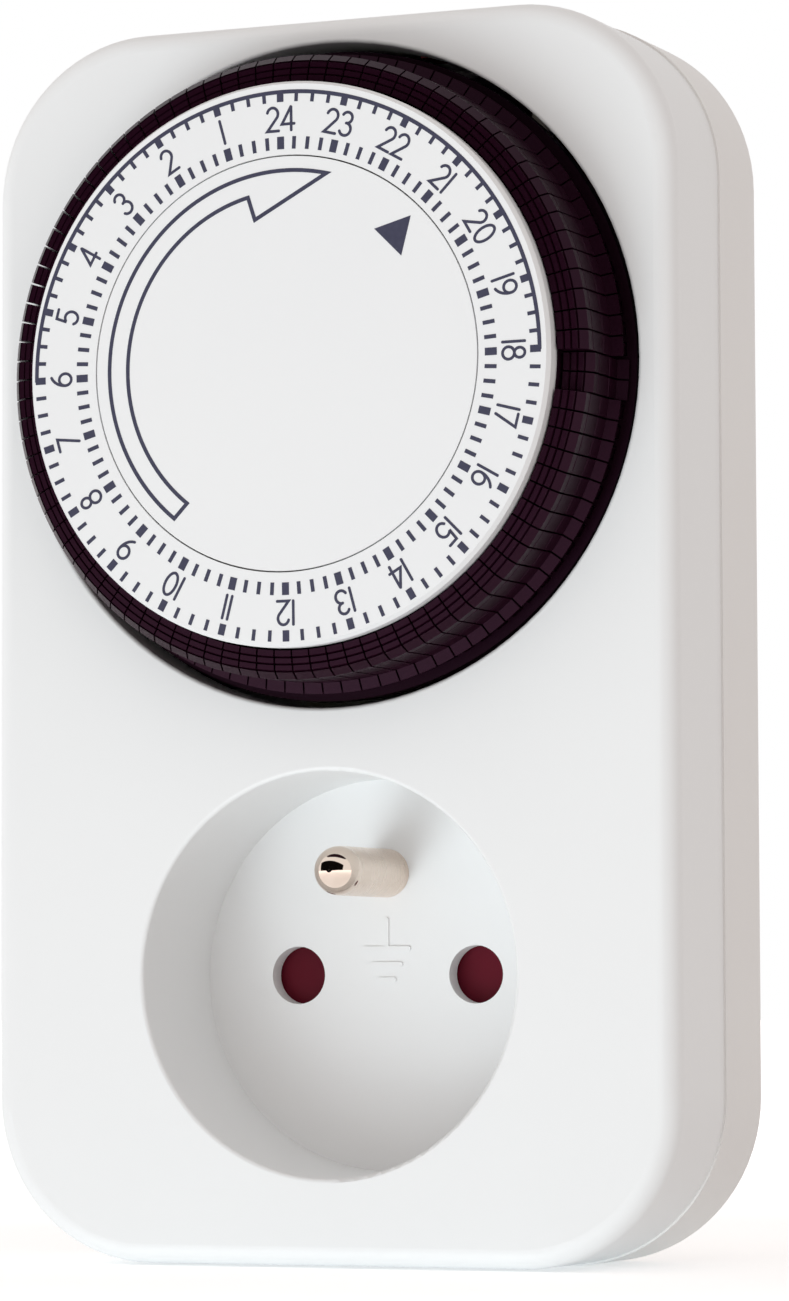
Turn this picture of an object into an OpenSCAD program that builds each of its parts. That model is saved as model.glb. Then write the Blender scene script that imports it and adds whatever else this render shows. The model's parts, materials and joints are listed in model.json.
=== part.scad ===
// Mechanical 24 hour plug-in timer switch with a pin-earthed front socket.
//
// World frame: +Z up, the front faces -Y, millimetres. The origin is the
// middle of the plug's end face, the face that meets the wall socket.
// Every piece is drawn in a front frame and then stood up by stand(): x to the
// right, y up and z towards the viewer, with z = 0 on the housing's front face
// and x = y = 0 on the socket's axis.

/* [Housing] */
// Width of the front shell
body_w = 71.5; // [68:0.5:90]
// Height of the front shell
body_h = 120.6; // [118:0.2:140]
// Thickness of the housing, front face to back face
body_t = 24.6; // [23:0.2:32]
// Depth of the front shell, front face to seam
seam_d = 13; // [11.5:0.1:14]
// Socket axis above the housing's lower edge
socket_up = 27.9; // [26:0.1:34]
// Radius of the corners in the front view
corner_r = 16; // [13:0.5:18]
// Radius of the edge round the front and back faces
edge_r = 1.9; // [0.8:0.1:2.4]
// Radius of the rims round the recess and round the dial's opening
rim_f = 0.4; // [0.2:0.05:0.8]
// Wall of both shells
wall = 2; // [1.6:0.1:2.4]
// How far the rear cover stands proud of the front shell
rear_lip = 0.2; // [0:0.05:0.4]

/* [Socket] */
// Radius of the recess at its rim
recess_rim_r = 19.54; // [19:0.02:20.5]
// Radius of the recess at its floor
recess_floor_r = 19.25; // [18.8:0.05:19.4]
// Depth of the recess
recess_d = 14.7; // [14.6:0.1:15.8]
// Thickness of the recess floor
floor_t = 2; // [1.8:0.1:2.6]
// Wall round the recess
well_wall = 1.7; // [1.2:0.1:2.2]
// Distance between the two holes
hole_pitch = 19; // [18.6:0.1:19.4]
// Radius of each hole
hole_r = 2.85; // [2.6:0.01:3]
// Earth pin above the line of the holes
earth_up = 10; // [9.6:0.1:10.4]
// Radius of the earth pin
earth_r = 2.4; // [2.3:0.05:2.45]
// How far the earth pin stands out of the recess floor
earth_len = 14; // [13:0.5:14.5]
// Radius of the earth pin's tail inside the housing
earth_tail_r = 1.9; // [1.5:0.1:2.2]

/* [Plug] */
// Radius of the plug's boss
boss_r = 18.4; // [18:0.1:18.8]
// Length of the plug's boss
boss_len = 17; // [16:0.5:19]
// Wall of the boss
boss_wall = 2.2; // [1.8:0.1:2.4]
// End wall of the boss
boss_end_t = 3; // [2.5:0.1:3.5]
// Radius of the plug pins
pin_r = 2.4; // [2.3:0.05:2.45]
// Length of the plug pins
pin_len = 19; // [18:0.5:19.5]
// Radius of the pins' necks, where they pass through plastic
neck_r = 2.1; // [1.8:0.05:2.2]
// Radius of the hole for the wall socket's earth pin
earth_bore_r = 2.6; // [2.5:0.05:2.8]
// Width of the guide grooves at the sides of the boss
groove_w = 5.4; // [4.5:0.1:6]
// Depth of the guide grooves
groove_d = 1.9; // [1.2:0.1:2]
// Width of the side earth clips
clip_w = 5; // [4:0.5:6]
// Thickness of the side earth clips
clip_t = 0.6; // [0.5:0.1:0.8]
// Depth of the flats that hold the clips
clip_pocket_d = 1.2; // [1:0.1:1.5]

/* [Dial] */
// Dial axis above the socket axis
dial_up = 57.9; // [56.5:0.1:60]
// Gap between the tappets and the opening round them
opening_gap = 1.3; // [1.2:0.1:2]
// Depth of the collar round the opening
collar_d = 5; // [4:0.1:5.2]
// Wall of that collar
collar_wall = 1.2; // [1:0.1:1.4]
// Height of the dial above the front face
dial_rise = 9.5; // [9:0.1:11]
// Gap between the number ring and the tappets
ring_gap = 0.19; // [0.15:0.01:0.25]
// Thickness of the number ring
ring_t = 2.2; // [1.8:0.1:2.4]
// Width of the number ring, out from the fixed centre disc
ring_w = 7.26; // [5:0.02:11]
// Gap between the fixed centre disc and the number ring
disc_gap = 0.15; // [0.1:0.01:0.3]
// Thickness of the number ring's lip, which reaches in under the disc
lip_t = 0.8; // [0.6:0.1:1]
// Width of that lip under the disc
lip_w = 1.2; // [0.8:0.1:1.3]
// Radius of the fixed spindle
spindle_r = 2.5; // [2:0.1:3]
// Side of the square on the spindle's tip
spindle_sq = 2.6; // [2:0.1:2.8]
// Radius of the carrier's hub
hub_r = 5; // [4.5:0.1:6]
// Thickness of the carrier's drum wall
drum_wall = 1.7; // [1.2:0.1:2]
// Thickness of the carrier's flange and web
flange_t = 1.6; // [1.2:0.1:1.7]
// How far the carrier's flange stands out beyond the tappets
flange_lip = 0.6; // [0.4:0.1:0.8]

/* [Tappets] */
// Number of tappets round the dial
tappet_n = 96; // [96:96:96]
// How far a tappet is pushed in
tappet_travel = 1.6; // [1.2:0.1:1.8]
// Width of a tappet, from its inner side to the edge of its ledge
tappet_w = 3.75; // [3.7:0.05:4]
// Width of the ledge at a tappet's base
ledge_w = 1.05; // [0.9:0.05:1.2]
// Width of one of the four rows across a tappet's top
row_w = 0.66; // [0.6:0.02:0.7]
// How far a tappet's top slopes down towards the outside
top_slope = 1.3; // [0.8:0.1:1.6]
// Outer radius of the tappets
tappet_out_r = 31; // [30.9:0.1:31.2]
// Height of the tappets' tops above the front face
tappet_top = 8; // [7.5:0.1:8.2]
// Gap between neighbouring tappets, in degrees
tappet_gap = 0.35; // [0.3:0.05:0.6]
// Width of a tappet's foot
foot_w = 1.1; // [0.9:0.05:1.2]
// Angle of the first tappet pushed in for the present, in degrees
set_at = -7.5; // [-7.5:3.75:-7.5]

/* [Mechanism plate] */
// Gap between the mechanism plate and the side walls
plate_side_gap = 2.75; // [2.5:0.05:3.5]
// Gap between the mechanism plate and the upper wall
plate_top_gap = 3.3; // [3:0.1:4]
// Mechanism plate's lower edge above the wall round the recess
plate_low_gap = 7.16; // [6:0.02:8]
// Thickness of the mechanism plate
plate_t = 1.4; // [1.2:0.1:1.5]

/* [Gears] */
// Gear module
gear_m = 0.5; // [0.48:0.01:0.52]
// Teeth of the gear under the dial carrier
dial_teeth = 60; // [60:1:60]
// Teeth of both pinions
pinion_teeth = 10; // [10:1:10]
// Teeth of the intermediate wheel
wheel_teeth = 34; // [30:1:34]
// Direction from the dial axis to the wheel's arbor, in degrees
arbor_dir = 200; // [190:1:215]
// Direction from the arbor to the motor's pinion, in degrees
motor_dir = 80; // [70:1:90]
// Extra distance between the centres of meshing gears
mesh_play = 0.06; // [0.03:0.01:0.1]
// Radius of the arbors
arbor_r = 0.8; // [0.6:0.05:0.9]
// Face width of the wheel
wheel_t = 1.4; // [1:0.1:1.5]

/* [Motor] */
// Radius of the motor's can
motor_r = 16; // [14:0.5:17]
// Wall of the can
can_wall = 0.8; // [0.6:0.1:1]
// Radius of the rotor
rotor_r = 5.5; // [4.5:0.5:6]

/* [Switch] */
// Direction of the place where the tappets are read, in degrees
read_dir = 50; // [48:1:52]
// Length of the lever from its pivot to its nose
lever_arm = 8.4; // [8:0.1:8.8]
// Swing of the lever, in degrees
lever_swing = 12; // [8:1:12]
// Thickness of the lever
lever_t = 2; // [1.6:0.1:2.1]
// Radius of the lever's pivot
pivot_r = 1; // [0.8:0.05:1.1]
// Travel of the manual slider
slider_travel = 3.5; // [3:0.5:4]
// Width of the slider's button
button_w = 8; // [6:0.5:9]
// Depth of the pocket that the button lies in
pocket_d = 1; // [0.8:0.1:1.2]
// Slider's button right of the middle, in the "always on" position
button_x = 14; // [12:0.5:15]
// Thickness of the contact strips
strip_t = 0.8; // [0.6:0.1:0.9]
// Width of the contact strips
strip_w = 3; // [2.5:0.1:3]
// Thickness of the leaf spring
leaf_t = 0.4; // [0.3:0.05:0.5]

/* [Shutter] */
// Thickness of the shutter
shutter_t = 1.6; // [1.2:0.1:1.7]
// Turn of the shutter, in degrees
shutter_turn = 40; // [38:1:40]
// Radius of the shutter's pivot post
shutter_post_r = 1.8; // [1.5:0.1:2]

/* [Fits] */
// Running clearance on arbors and hubs
run_gap = 0.05; // [0.03:0.01:0.08]
// Clearance between pieces that pass each other
free_gap = 0.3; // [0.25:0.05:0.35]
// Radius of the housing screws
screw_r = 1.4; // [1.2:0.1:1.6]
// Radius of the housing screws' heads
screw_head_r = 2.7; // [2.4:0.1:2.9]
// Radius of the moulded screw bosses
screw_boss_r = 3.6; // [3.3:0.1:3.8]

/* [Hidden] */
$fn = 96;
eps = 0.02;

// levels along the front frame's z
face_y = -(body_t + boss_len);      // world y of the front face
back_z = -body_t;                   // outer back of the rear cover
inner_back_z = -body_t + wall + 0.2; // inner face of the rear cover
plug_z = -(body_t + boss_len);      // end face of the plug
floor_z = -recess_d;                // recess floor
under_z = floor_z - floor_t;        // back of that floor

// rings of the dial, from the tappets outwards and inwards
opening_r = tappet_out_r + opening_gap;
flange_r = tappet_out_r + flange_lip;
tappet_in_r = tappet_out_r - tappet_w;
ring_r = tappet_in_r - ring_gap;
disc_r = ring_r - ring_w;           // fixed centre disc

// dial stack
ring_z = dial_rise - ring_t;        // seat of the number ring
disc_z = ring_z + lip_t + free_gap; // underside of the fixed disc
drum_r = ring_r - 0.06;             // outside of the carrier's drum
flange_z = -tappet_travel;          // top of the carrier's flange
web_z = flange_z - flange_t;        // underside of the flange and web
gear_t = 2.2;                       // face width of the dial's gear
gear_z = web_z - gear_t;            // underside of that gear
foot_z = gear_z + 0.2;              // tip of a foot while it is out
layer_z = foot_z - free_gap;        // top of the layer that the lever works in
plate_z = -8.9;                     // front of the mechanism plate
plate_back_z = plate_z - plate_t;
step = 360 / tappet_n;

// gear centres
dial_c = [0, dial_up];
pitch_r = function (n) n * gear_m / 2;
arbor_d = pitch_r(dial_teeth) + pitch_r(pinion_teeth) + mesh_play;
arbor_c = dial_c + arbor_d * dir(arbor_dir);
motor_d = pitch_r(wheel_teeth) + pitch_r(pinion_teeth) + mesh_play;
motor_c = arbor_c + motor_d * dir(motor_dir);
wheel_z = layer_z - free_gap;       // top of the wheel
motor_top_z = plate_back_z;
ear_dirs = [-80, 100];              // the can's two ears
motor_back_z = inner_back_z + 0.4;

// lever: nose held out at rest, so that the contacts are closed
nose_r = 1.1;
read_rest_r = tappet_out_r - 0.3 + nose_r + 0.3;
nose_c = dial_c + read_rest_r * dir(read_dir);
lever_lean = read_dir + 107.6;      // from the pivot to the nose
pivot_c = nose_c - lever_arm * dir(lever_lean);
tail_arm = 6.6;                     // from the pivot to the tail's end
tail_c = pivot_c + tail_arm * dir(99);
tail_r = 0.9;
slider_z = layer_z - lever_t / 2 - 0.6; // middle of the slider's stem

// leaf spring, outside the lever's peg
leaf_dir = read_dir - 90;
leaf_near = nose_c + (nose_r - 0.2 + free_gap) * dir(read_dir);
leaf_a = leaf_near + 8 * dir(leaf_dir + 180);
leaf_len = 14;
leaf_head = 1.6;                    // contact rivet from the leaf's end
leaf_top_z = plate_back_z - 0.5;
leaf_w = 3;

// plug insides
inner_boss_r = boss_r - boss_wall;
end_in_z = plug_z + boss_end_t;
sleeve_in_r = earth_r + 0.05;
sleeve_out_r = sleeve_in_r + 0.65;
shutter_z = under_z - free_gap;     // front of the shutter
sleeve_z = shutter_z - shutter_t - 0.6;
sleeve_end_z = floor_z - pin_len - 0.5;
shoulder_z = end_in_z + 1.2;        // inner face of the plug pins' shoulders
strap_z = back_z - 1.2;             // front of the earth strap
strip_z = sleeve_z;                 // front of the contact strips
spring_peg = [-3.05, -8.4];         // peg that holds the shutter's spring
pin_x = hole_pitch / 2;

screw_low = [body_w / 2 - 8.2, -socket_up + 8.4];
screw_mid = [body_w / 2 - 7.2, 26];
screw_xy = [for (s = [-1, 1], p = [screw_low, screw_mid]) [s * p[0], p[1]]];
bar_gap = 1.8;                      // between the two bars
out_bar = [screw_mid[0] - screw_boss_r - strip_w - 0.75, -2]; // switched
in_bar = [out_bar[0] - bar_gap - strip_w, 2.2]; // unswitched
in_bar_x = inner_boss_r - 2.6;      // its upright, inside the plug's boss

// mechanism plate and its three posts
plate_w = body_w - 2 * (wall + plate_side_gap);
plate_top = body_h - socket_up - wall - plate_top_gap;
plate_low = recess_rim_r + well_wall + plate_low_gap;
post_in = 4;                        // posts in from the plate's sides
post_up = 4.5;                      // posts in from its ends
post_xy = [[post_in - plate_w / 2, plate_top - post_up],
    [post_in - plate_w / 2, plate_low + post_up],
    [plate_w / 2 - post_in, plate_low + post_up]];

function dir(a) = [cos(a), sin(a)];
function body_top() = body_h - socket_up;

// Stands a piece drawn in the front frame up in the world frame.
module stand() translate([0, face_y, 0]) rotate([90, 0, 0]) children();

// Moves to a place in the front view and a level along z.
module at(p, z = 0) translate([p[0], p[1], z]) children();

// ---------------------------------------------------------------- helpers

module rounded_rect(w, h, r) {
    square([w - 2 * r, h], center = true);
    square([w, h - 2 * r], center = true);
    for (x = [-1, 1], y = [-1, 1])
        translate([x * (w / 2 - r), y * (h / 2 - r)]) circle(r);
}

// Half section of a slab's edge: flat back at 0, top at t, outer edge at r.
module edge_section(r, t, f) {
    square([r, t - f]);
    square([r - f, t]);
    translate([r - f, t - f]) intersection() {
        circle(f);
        square(f + 1);
    }
}

// Rounded rectangle slab from z = 0 to t, with its upper edge rounded by f.
module soft_slab(w, h, r, t, f) {
    cw = w - 2 * r;
    ch = h - 2 * r;
    translate([-cw / 2, -ch / 2, 0]) cube([cw, ch, t]);
    for (s = [0, 180]) rotate(s) {
        translate([cw / 2, ch / 2, 0]) rotate([90, 0, 0])
            linear_extrude(ch) edge_section(r, t, f);
        translate([-cw / 2, ch / 2, 0]) rotate([90, 0, 90])
            linear_extrude(cw) edge_section(r, t, f);
        translate([cw / 2, ch / 2, 0])
            rotate_extrude(angle = 90) edge_section(r, t, f);
        translate([-cw / 2, ch / 2, 0]) rotate(90)
            rotate_extrude(angle = 90) edge_section(r, t, f);
    }
}

// Section of what is cut away to round the rim of an opening of radius r
module rim_section(r) difference() {
    translate([r - eps, -rim_f]) square([rim_f + eps, rim_f + 1]);
    translate([r + rim_f, -rim_f]) circle(rim_f);
}

module tube(ro, ri, t) linear_extrude(t) difference() {
    circle(ro);
    circle(ri);
}

// Toothed outline: straight-sided teeth, the first one centred on +x.
function tooth_points(n, m) = let (p = 360 / n, rp = n * m / 2,
    ro = rp + 0.78 * m, ri = rp - 1.1 * m)
    [for (i = [0 : n - 1]) each [
        ri * dir((i - 0.31) * p), ro * dir((i - 0.11) * p),
        ro * dir((i + 0.11) * p), ri * dir((i + 0.31) * p)]];

module gear(n, t) linear_extrude(t) polygon(tooth_points(n, gear_m));

function ear_d() = motor_r + 1.6;

// Outline with round ends between two places in the front view.
module link(a, b, w) {
    v = b - a;
    translate(a) rotate(atan2(v[1], v[0])) translate([0, -w / 2])
        square([norm(v), w]);
    translate(a) circle(w / 2);
    translate(b) circle(w / 2);
}

// ---------------------------------------------------------------- housing

module body_at(z) translate([0, body_h / 2 - socket_up, z]) children();

module front_housing() color("whitesmoke") stand() {
    difference() {
        union() {
            difference() {
                body_at(-seam_d)
                    soft_slab(body_w, body_h, corner_r, seam_d, edge_r);
                body_at(-seam_d - 1) linear_extrude(seam_d + 1 - wall)
                    rounded_rect(body_w - 2 * wall, body_h - 2 * wall,
                        corner_r - wall);
            }
            at([0, 0], under_z)
                cylinder(r = recess_rim_r + well_wall, h = -under_z - wall / 2);
            at(dial_c, -collar_d)
                cylinder(r = opening_r + collar_wall, h = collar_d - wall / 2);
            for (p = screw_xy) at(p, -seam_d)
                cylinder(r = screw_boss_r, h = seam_d - wall / 2);
        }
        rotate_extrude() {
            polygon([[0, floor_z], [recess_floor_r, floor_z],
                [recess_rim_r, -rim_f], [recess_rim_r, 1], [0, 1]]);
            rim_section(recess_rim_r);
        }
        at(dial_c) rotate_extrude() {
            translate([0, -collar_d - 1]) square([opening_r, collar_d + 2]);
            rim_section(opening_r);
        }
        for (x = [-pin_x, pin_x]) at([x, 0], under_z - 1)
            cylinder(r = hole_r, h = floor_t + 2);
        at([0, earth_up], under_z - 1)
            cylinder(r = neck_r + 0.02, h = floor_t + 2);
        for (p = screw_xy) at(p, -seam_d - 1)
            cylinder(r = screw_r + run_gap, h = seam_d - 3);
        slider_slot();
    }
    // pivot post of the shutter and the peg that holds its spring
    at([0, 0], shutter_z - shutter_t)
        cylinder(r = shutter_post_r, h = shutter_t + free_gap + 0.2);
    at(spring_peg, sleeve_z)
        cylinder(r = 0.8, h = under_z - sleeve_z + 0.2);
}

module rear_cover() color("gainsboro") stand() {
    w = body_w + 2 * rear_lip;
    h = body_h + 2 * rear_lip;
    r = corner_r + rear_lip;
    t = body_t - seam_d;
    difference() {
        union() {
            difference() {
                body_at(-seam_d) mirror([0, 0, 1])
                    soft_slab(w, h, r, t, edge_r);
                body_at(inner_back_z) linear_extrude(t)
                    rounded_rect(w - 2 * (wall + rear_lip),
                        h - 2 * (wall + rear_lip), r - wall - rear_lip);
            }
            at([0, 0], plug_z) cylinder(r = boss_r, h = boss_len + wall / 2);
            for (p = screw_xy) at(p, back_z + wall / 2)
                cylinder(r = screw_boss_r, h = t - wall / 2 - 0.05);
            for (p = post_xy) at(p, back_z + wall / 2)
                cylinder(r = 2.6, h = plate_back_z - back_z - wall / 2);
            // tongues that hook behind the front shell's upper wall
            for (x = [-22, -8]) {
                at([x, body_top() - wall - 1.7], -seam_d - 4)
                    cube([6, 1.8, 4 - 0.1]);
                at([x, body_top() - wall - 1.7], -seam_d - 1)
                    cube([6, 1.5, 4]);
            }
        }
        at([0, 0], end_in_z)
            cylinder(r = inner_boss_r, h = inner_back_z - end_in_z + 1);
        for (x = [-pin_x, pin_x]) at([x, 0], plug_z - 1)
            cylinder(r = neck_r + 0.02, h = boss_end_t + 2);
        at([0, earth_up], plug_z - 1)
            cylinder(r = earth_bore_r, h = boss_end_t + 2);
        // guide grooves, one each side
        for (s = [-1, 1]) at([s * (boss_r - groove_d + 3), 0], plug_z - 1)
            linear_extrude(boss_len + 1 - 2) square([6, groove_w], center = true);
        // flats and slots for the side earth clips
        for (s = [-1, 1]) {
            at([0, s * (boss_r - clip_pocket_d + 3)], plug_z + 1)
                linear_extrude(boss_len - 1 - 1)
                    square([clip_w + 0.6, 6], center = true);
            at([0, s * (boss_r - 2)], strap_z - strip_t - 0.1)
                linear_extrude(strip_t + 0.2)
                    square([clip_w - 0.4, 6], center = true);
        }
        for (p = screw_xy) at(p, back_z - 1) {
            cylinder(r = screw_r + run_gap, h = t + 2);
            cylinder(r = screw_head_r + 0.2, h = 1 + 2.6);
        }
        for (p = post_xy) at(p, plate_back_z - 7)
            cylinder(r = 1 + run_gap, h = 8);
    }
}

module housing_screws() color("silver") stand() for (p = screw_xy) {
    at(p, back_z + 0.6) difference() {
        cylinder(r = screw_head_r, h = 2);
        translate([-0.4, -2, -1]) cube([0.8, 4, 2]);
        translate([-2, -0.4, -1]) cube([4, 0.8, 2]);
    }
    at(p, back_z + 2.6) cylinder(r = screw_r, h = 15);
}

// ---------------------------------------------------------------- dial

// The drum that turns: seat of the number ring, comb for the tappets' feet
// and the gear that the clutch pinion drives.
module dial_carrier() color("#1c0a16") stand() at(dial_c) {
    difference() {
        union() {
            at([0, 0], web_z) linear_extrude(flange_t) difference() {
                circle(flange_r);
                circle(spindle_r + run_gap);
                for (i = [0 : tappet_n - 1]) rotate((i + 0.5) * step)
                    translate([foot_in_r() - 0.1, -foot_w / 2 - 0.1])
                        square([foot_out_r() - foot_in_r() + 0.2,
                            foot_w + 0.2]);
            }
            at([0, 0], flange_z) tube(drum_r, drum_r - drum_wall,
                ring_z - flange_z);
            at([0, 0], ring_z - 1.6) tube(drum_r - 0.5, disc_r - 1.3, 1.6);
            at([0, 0], plate_z + free_gap) tube(hub_r, spindle_r + run_gap,
                2.4 - plate_z - free_gap);
            at([0, 0], gear_z) linear_extrude(gear_t) difference() {
                rotate(arbor_dir)
                    polygon(tooth_points(dial_teeth, gear_m));
                circle(pitch_r(dial_teeth) - 2.4);
            }
        }
        // snap slots for the number ring's clips
        for (a = [45, 165, 285]) rotate(a)
            translate([disc_r + 2, -1.6, ring_z - 3]) cube([1.6, 3.2, 4]);
    }
}

module number_ring() color("white") stand() at(dial_c) {
    rotate_extrude() polygon([
        [disc_r - lip_w, ring_z], [ring_r - 0.1, ring_z],
        [ring_r, ring_z + 0.5], [ring_r, dial_rise - 0.5],
        [ring_r - 0.3, dial_rise], [disc_r + disc_gap, dial_rise],
        [disc_r + disc_gap, ring_z + lip_t],
        [disc_r - lip_w, ring_z + lip_t]]);
    for (a = [45, 165, 285]) rotate(a)
        translate([disc_r + 2.15, -1.45, ring_z - 1.9]) cube([1, 2.9, 2.1]);
}

module centre_disc() color("white") stand() at(dial_c) difference() {
    union() {
        at([0, 0], disc_z) cylinder(r = disc_r, h = dial_rise - disc_z);
        at([0, 0], 3) cylinder(r = 4, h = disc_z - 3 + 0.2);
    }
    at([0, 0], 2) linear_extrude(ring_z - 1.6)
        square(spindle_sq + 0.04, center = true);
}

module dial_spindle() color("silver") stand() at(dial_c) {
    at([0, 0], plate_back_z + 0.1)
        cylinder(r = spindle_r, h = 3 - plate_back_z - 0.1);
    at([0, 0], 3 - 0.5) linear_extrude(ring_z - 3 + 0.3)
        square(spindle_sq, center = true);
}

// ---------------------------------------------------------------- tappets

function foot_in_r() = tappet_in_r + 1.05;
function foot_out_r() = tappet_out_r - 0.5;

// Section of a tappet: three rows across the top, a fourth that leans
// outwards, the outer face with two fine grooves, and the ledge at the base.
module tappet_section() {
    i = tappet_in_r;
    o = tappet_out_r;
    t = tappet_top;
    c = o - ledge_w;
    g = 0.1;
    polygon(concat([[i, 0.3]],
        [for (k = [0 : 2]) each [
            [i + k * row_w + (k > 0 ? g : 0), t - k * 0.15],
            [i + (k + 1) * row_w - g, t - k * 0.15 - 0.05],
            [i + (k + 1) * row_w, t - k * 0.15 - 0.35]]],
        [[i + 3 * row_w + g, t - 0.5], [c, t - top_slope],
        [c, t - 2.25], [c - g, t - 2.35], [c, t - 2.45],
        [c, t - 5], [c - g, t - 5.1], [c, t - 5.2],
        [c, 0.85], [o, 0.5], [o, 0.3]]));
}

module tappet(a) rotate(a) {
    rotate((tappet_gap - step) / 2)
        rotate_extrude(angle = step - tappet_gap, $fn = 360) tappet_section();
    translate([foot_in_r(), -foot_w / 2, foot_z])
        cube([foot_out_r() - foot_in_r(), foot_w, 0.4 - foot_z]);
}

// count tappets from number first, counted anticlockwise from set_at,
// pushed in by push
module tappets(first, count, push = 0) color("#1c0a16") stand()
    at(dial_c, -push) for (i = [0 : count - 1])
        tappet(set_at + (first + i + 0.5) * step);

module tappets_set() tappets(0, 2, tappet_travel);
module tappets_pair() tappets(2, 2);
module tappets_hour(k) tappets(4 * k, 4);

// ---------------------------------------------------------------- mechanism

module mechanism_plate() color("tan") stand() difference() {
    at([0, (plate_top + plate_low) / 2], plate_back_z)
        linear_extrude(plate_t)
            rounded_rect(plate_w, plate_top - plate_low, post_in);
    at(dial_c, plate_back_z - 1) cylinder(r = spindle_r + 0.02, h = 4);
    at(arbor_c, plate_back_z - 1) cylinder(r = arbor_r + 0.02, h = 4);
    at(motor_c, plate_back_z - 1) cylinder(r = 2.2, h = 4);
    at(pivot_c, plate_back_z - 1) cylinder(r = pivot_r + 0.02, h = 4);
    at(nose_c - [0, 1], plate_back_z - 1) cylinder(r = 3.6, h = 4);
    for (p = post_xy) at(p, plate_back_z - 1)
        cylinder(r = 1.1, h = 4);
    for (a = ear_dirs) at(motor_c + ear_d() * dir(a), plate_back_z - 1)
        cylinder(r = 1.1, h = 4);
    for (p = screw_xy) at(p, plate_back_z - 1)
        cylinder(r = screw_boss_r + free_gap, h = 4);
    // lightening holes
    for (a = [-60, -20, 20, 75]) at(dial_c + 19 * dir(a), plate_back_z - 1)
        cylinder(r = 4, h = 4);
}

// Three screws into the posts and two short ones into the motor's ears
module plate_screws() color("silver") stand() {
    for (p = post_xy) plate_screw(p, 5);
    for (a = ear_dirs) plate_screw(motor_c + ear_d() * dir(a), 0.8);
}

module plate_screw(p, reach) {
    at(p, plate_z) difference() {
        cylinder(r = 2, h = 1.3);
        translate([-0.3, -3, 0.8]) cube([0.6, 6, 1]);
    }
    at(p, plate_back_z - reach) cylinder(r = 1, h = plate_t + reach);
}

module wheel_arbor() color("silver") stand() at(arbor_c) {
    at([0, 0], plate_back_z + 0.1)
        cylinder(r = arbor_r, h = web_z - 0.2 - plate_back_z - 0.1);
    at([0, 0], plate_z)
        cylinder(r = 1.6, h = wheel_z - wheel_t - 0.4 - plate_z);
}

module intermediate_wheel() color("white") stand() at(arbor_c, wheel_z - wheel_t)
    difference() {
        rotate(motor_dir) gear(wheel_teeth, wheel_t);
        at([0, 0], -1) cylinder(r = arbor_r + run_gap, h = 4);
        for (a = [0 : 72 : 288]) rotate(a) translate([5.3, 0, -1])
            cylinder(r = 1.3, h = 4);
    }

module clutch_pinion() color("gold") stand() at(arbor_c) difference() {
    at([0, 0], wheel_z) rotate(arbor_dir + 180 + 180 / pinion_teeth)
        gear(pinion_teeth, web_z - free_gap - wheel_z);
    at([0, 0], wheel_z - 1) cylinder(r = arbor_r + run_gap, h = 8);
}

// Star spring that presses the wheel against the pinion, so that the dial
// can be turned by hand.
module clutch_spring() color("silver") stand()
    at(arbor_c, wheel_z - wheel_t - 0.3) linear_extrude(0.3) difference() {
        union() {
            circle(1.9);
            for (a = [0 : 120 : 240]) rotate(a)
                translate([0, -0.6]) square([3.6, 1.2]);
        }
        circle(arbor_r + run_gap);
    }

module output_pinion() color("gold") stand() at(motor_c) {
    at([0, 0], plate_z + 0.3) rotate(motor_dir + 180 + 180 / pinion_teeth)
        gear(pinion_teeth, wheel_z - plate_z - 0.3);
    at([0, 0], motor_top_z - 1.2)
        cylinder(r = 1.5, h = plate_z + 0.3 - motor_top_z + 1.2 + eps);
}

module motor_can() color("silver") stand() at(motor_c) difference() {
    union() {
        at([0, 0], motor_back_z)
            cylinder(r = motor_r, h = motor_top_z - 0.8 - motor_back_z);
        at([0, 0], motor_top_z - 0.8) linear_extrude(0.8) {
            circle(motor_r);
            for (a = ear_dirs) link([0, 0], ear_d() * dir(a), 5);
        }
    }
    at([0, 0], motor_back_z + can_wall)
        cylinder(r = motor_r - can_wall,
            h = motor_top_z - motor_back_z - 2 * can_wall);
    at([0, 0], motor_top_z - 2) cylinder(r = 1.5 + run_gap, h = 4);
    for (a = ear_dirs) at(ear_d() * dir(a), motor_top_z - 2)
        cylinder(r = 1.1, h = 4);
}

module motor_coil() color("#b06030") stand()
    at(motor_c, motor_back_z + can_wall) {
        tube(motor_r - can_wall - 0.1, rotor_r + 0.5, 0.9);
        at([0, 0], 0.8) tube(motor_r - can_wall - 1.6, rotor_r + 1.4, 5.4);
        at([0, 0], 0.8) tube(rotor_r + 1.5, rotor_r + 0.5, 5.4);
        at([0, 0], 6.1) tube(motor_r - can_wall - 0.1, rotor_r + 0.5, 0.9);
    }

module motor_rotor() color("dimgray") stand()
    at(motor_c, motor_back_z + can_wall + 0.3) {
        cylinder(r = rotor_r, h = 6.2);
        cylinder(r = 0.9, h = 7);
    }

// ---------------------------------------------------------------- switch

module switch_lever() color("ivory") stand() {
    difference() {
        union() {
            at([0, 0], layer_z - lever_t) linear_extrude(lever_t) {
                link(pivot_c, nose_c, 2 * nose_r);
                link(pivot_c, tail_c, 2 * tail_r);
                translate(pivot_c) circle(pivot_r + 1.3);
            }
            // peg that reaches back to the leaf spring
            at(nose_c, leaf_top_z - leaf_w)
                cylinder(r = nose_r - 0.2,
                    h = layer_z - lever_t - leaf_top_z + leaf_w + 0.5);
        }
        at(pivot_c, layer_z - lever_t - 1)
            cylinder(r = pivot_r + run_gap, h = lever_t + 2);
    }
}

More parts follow.
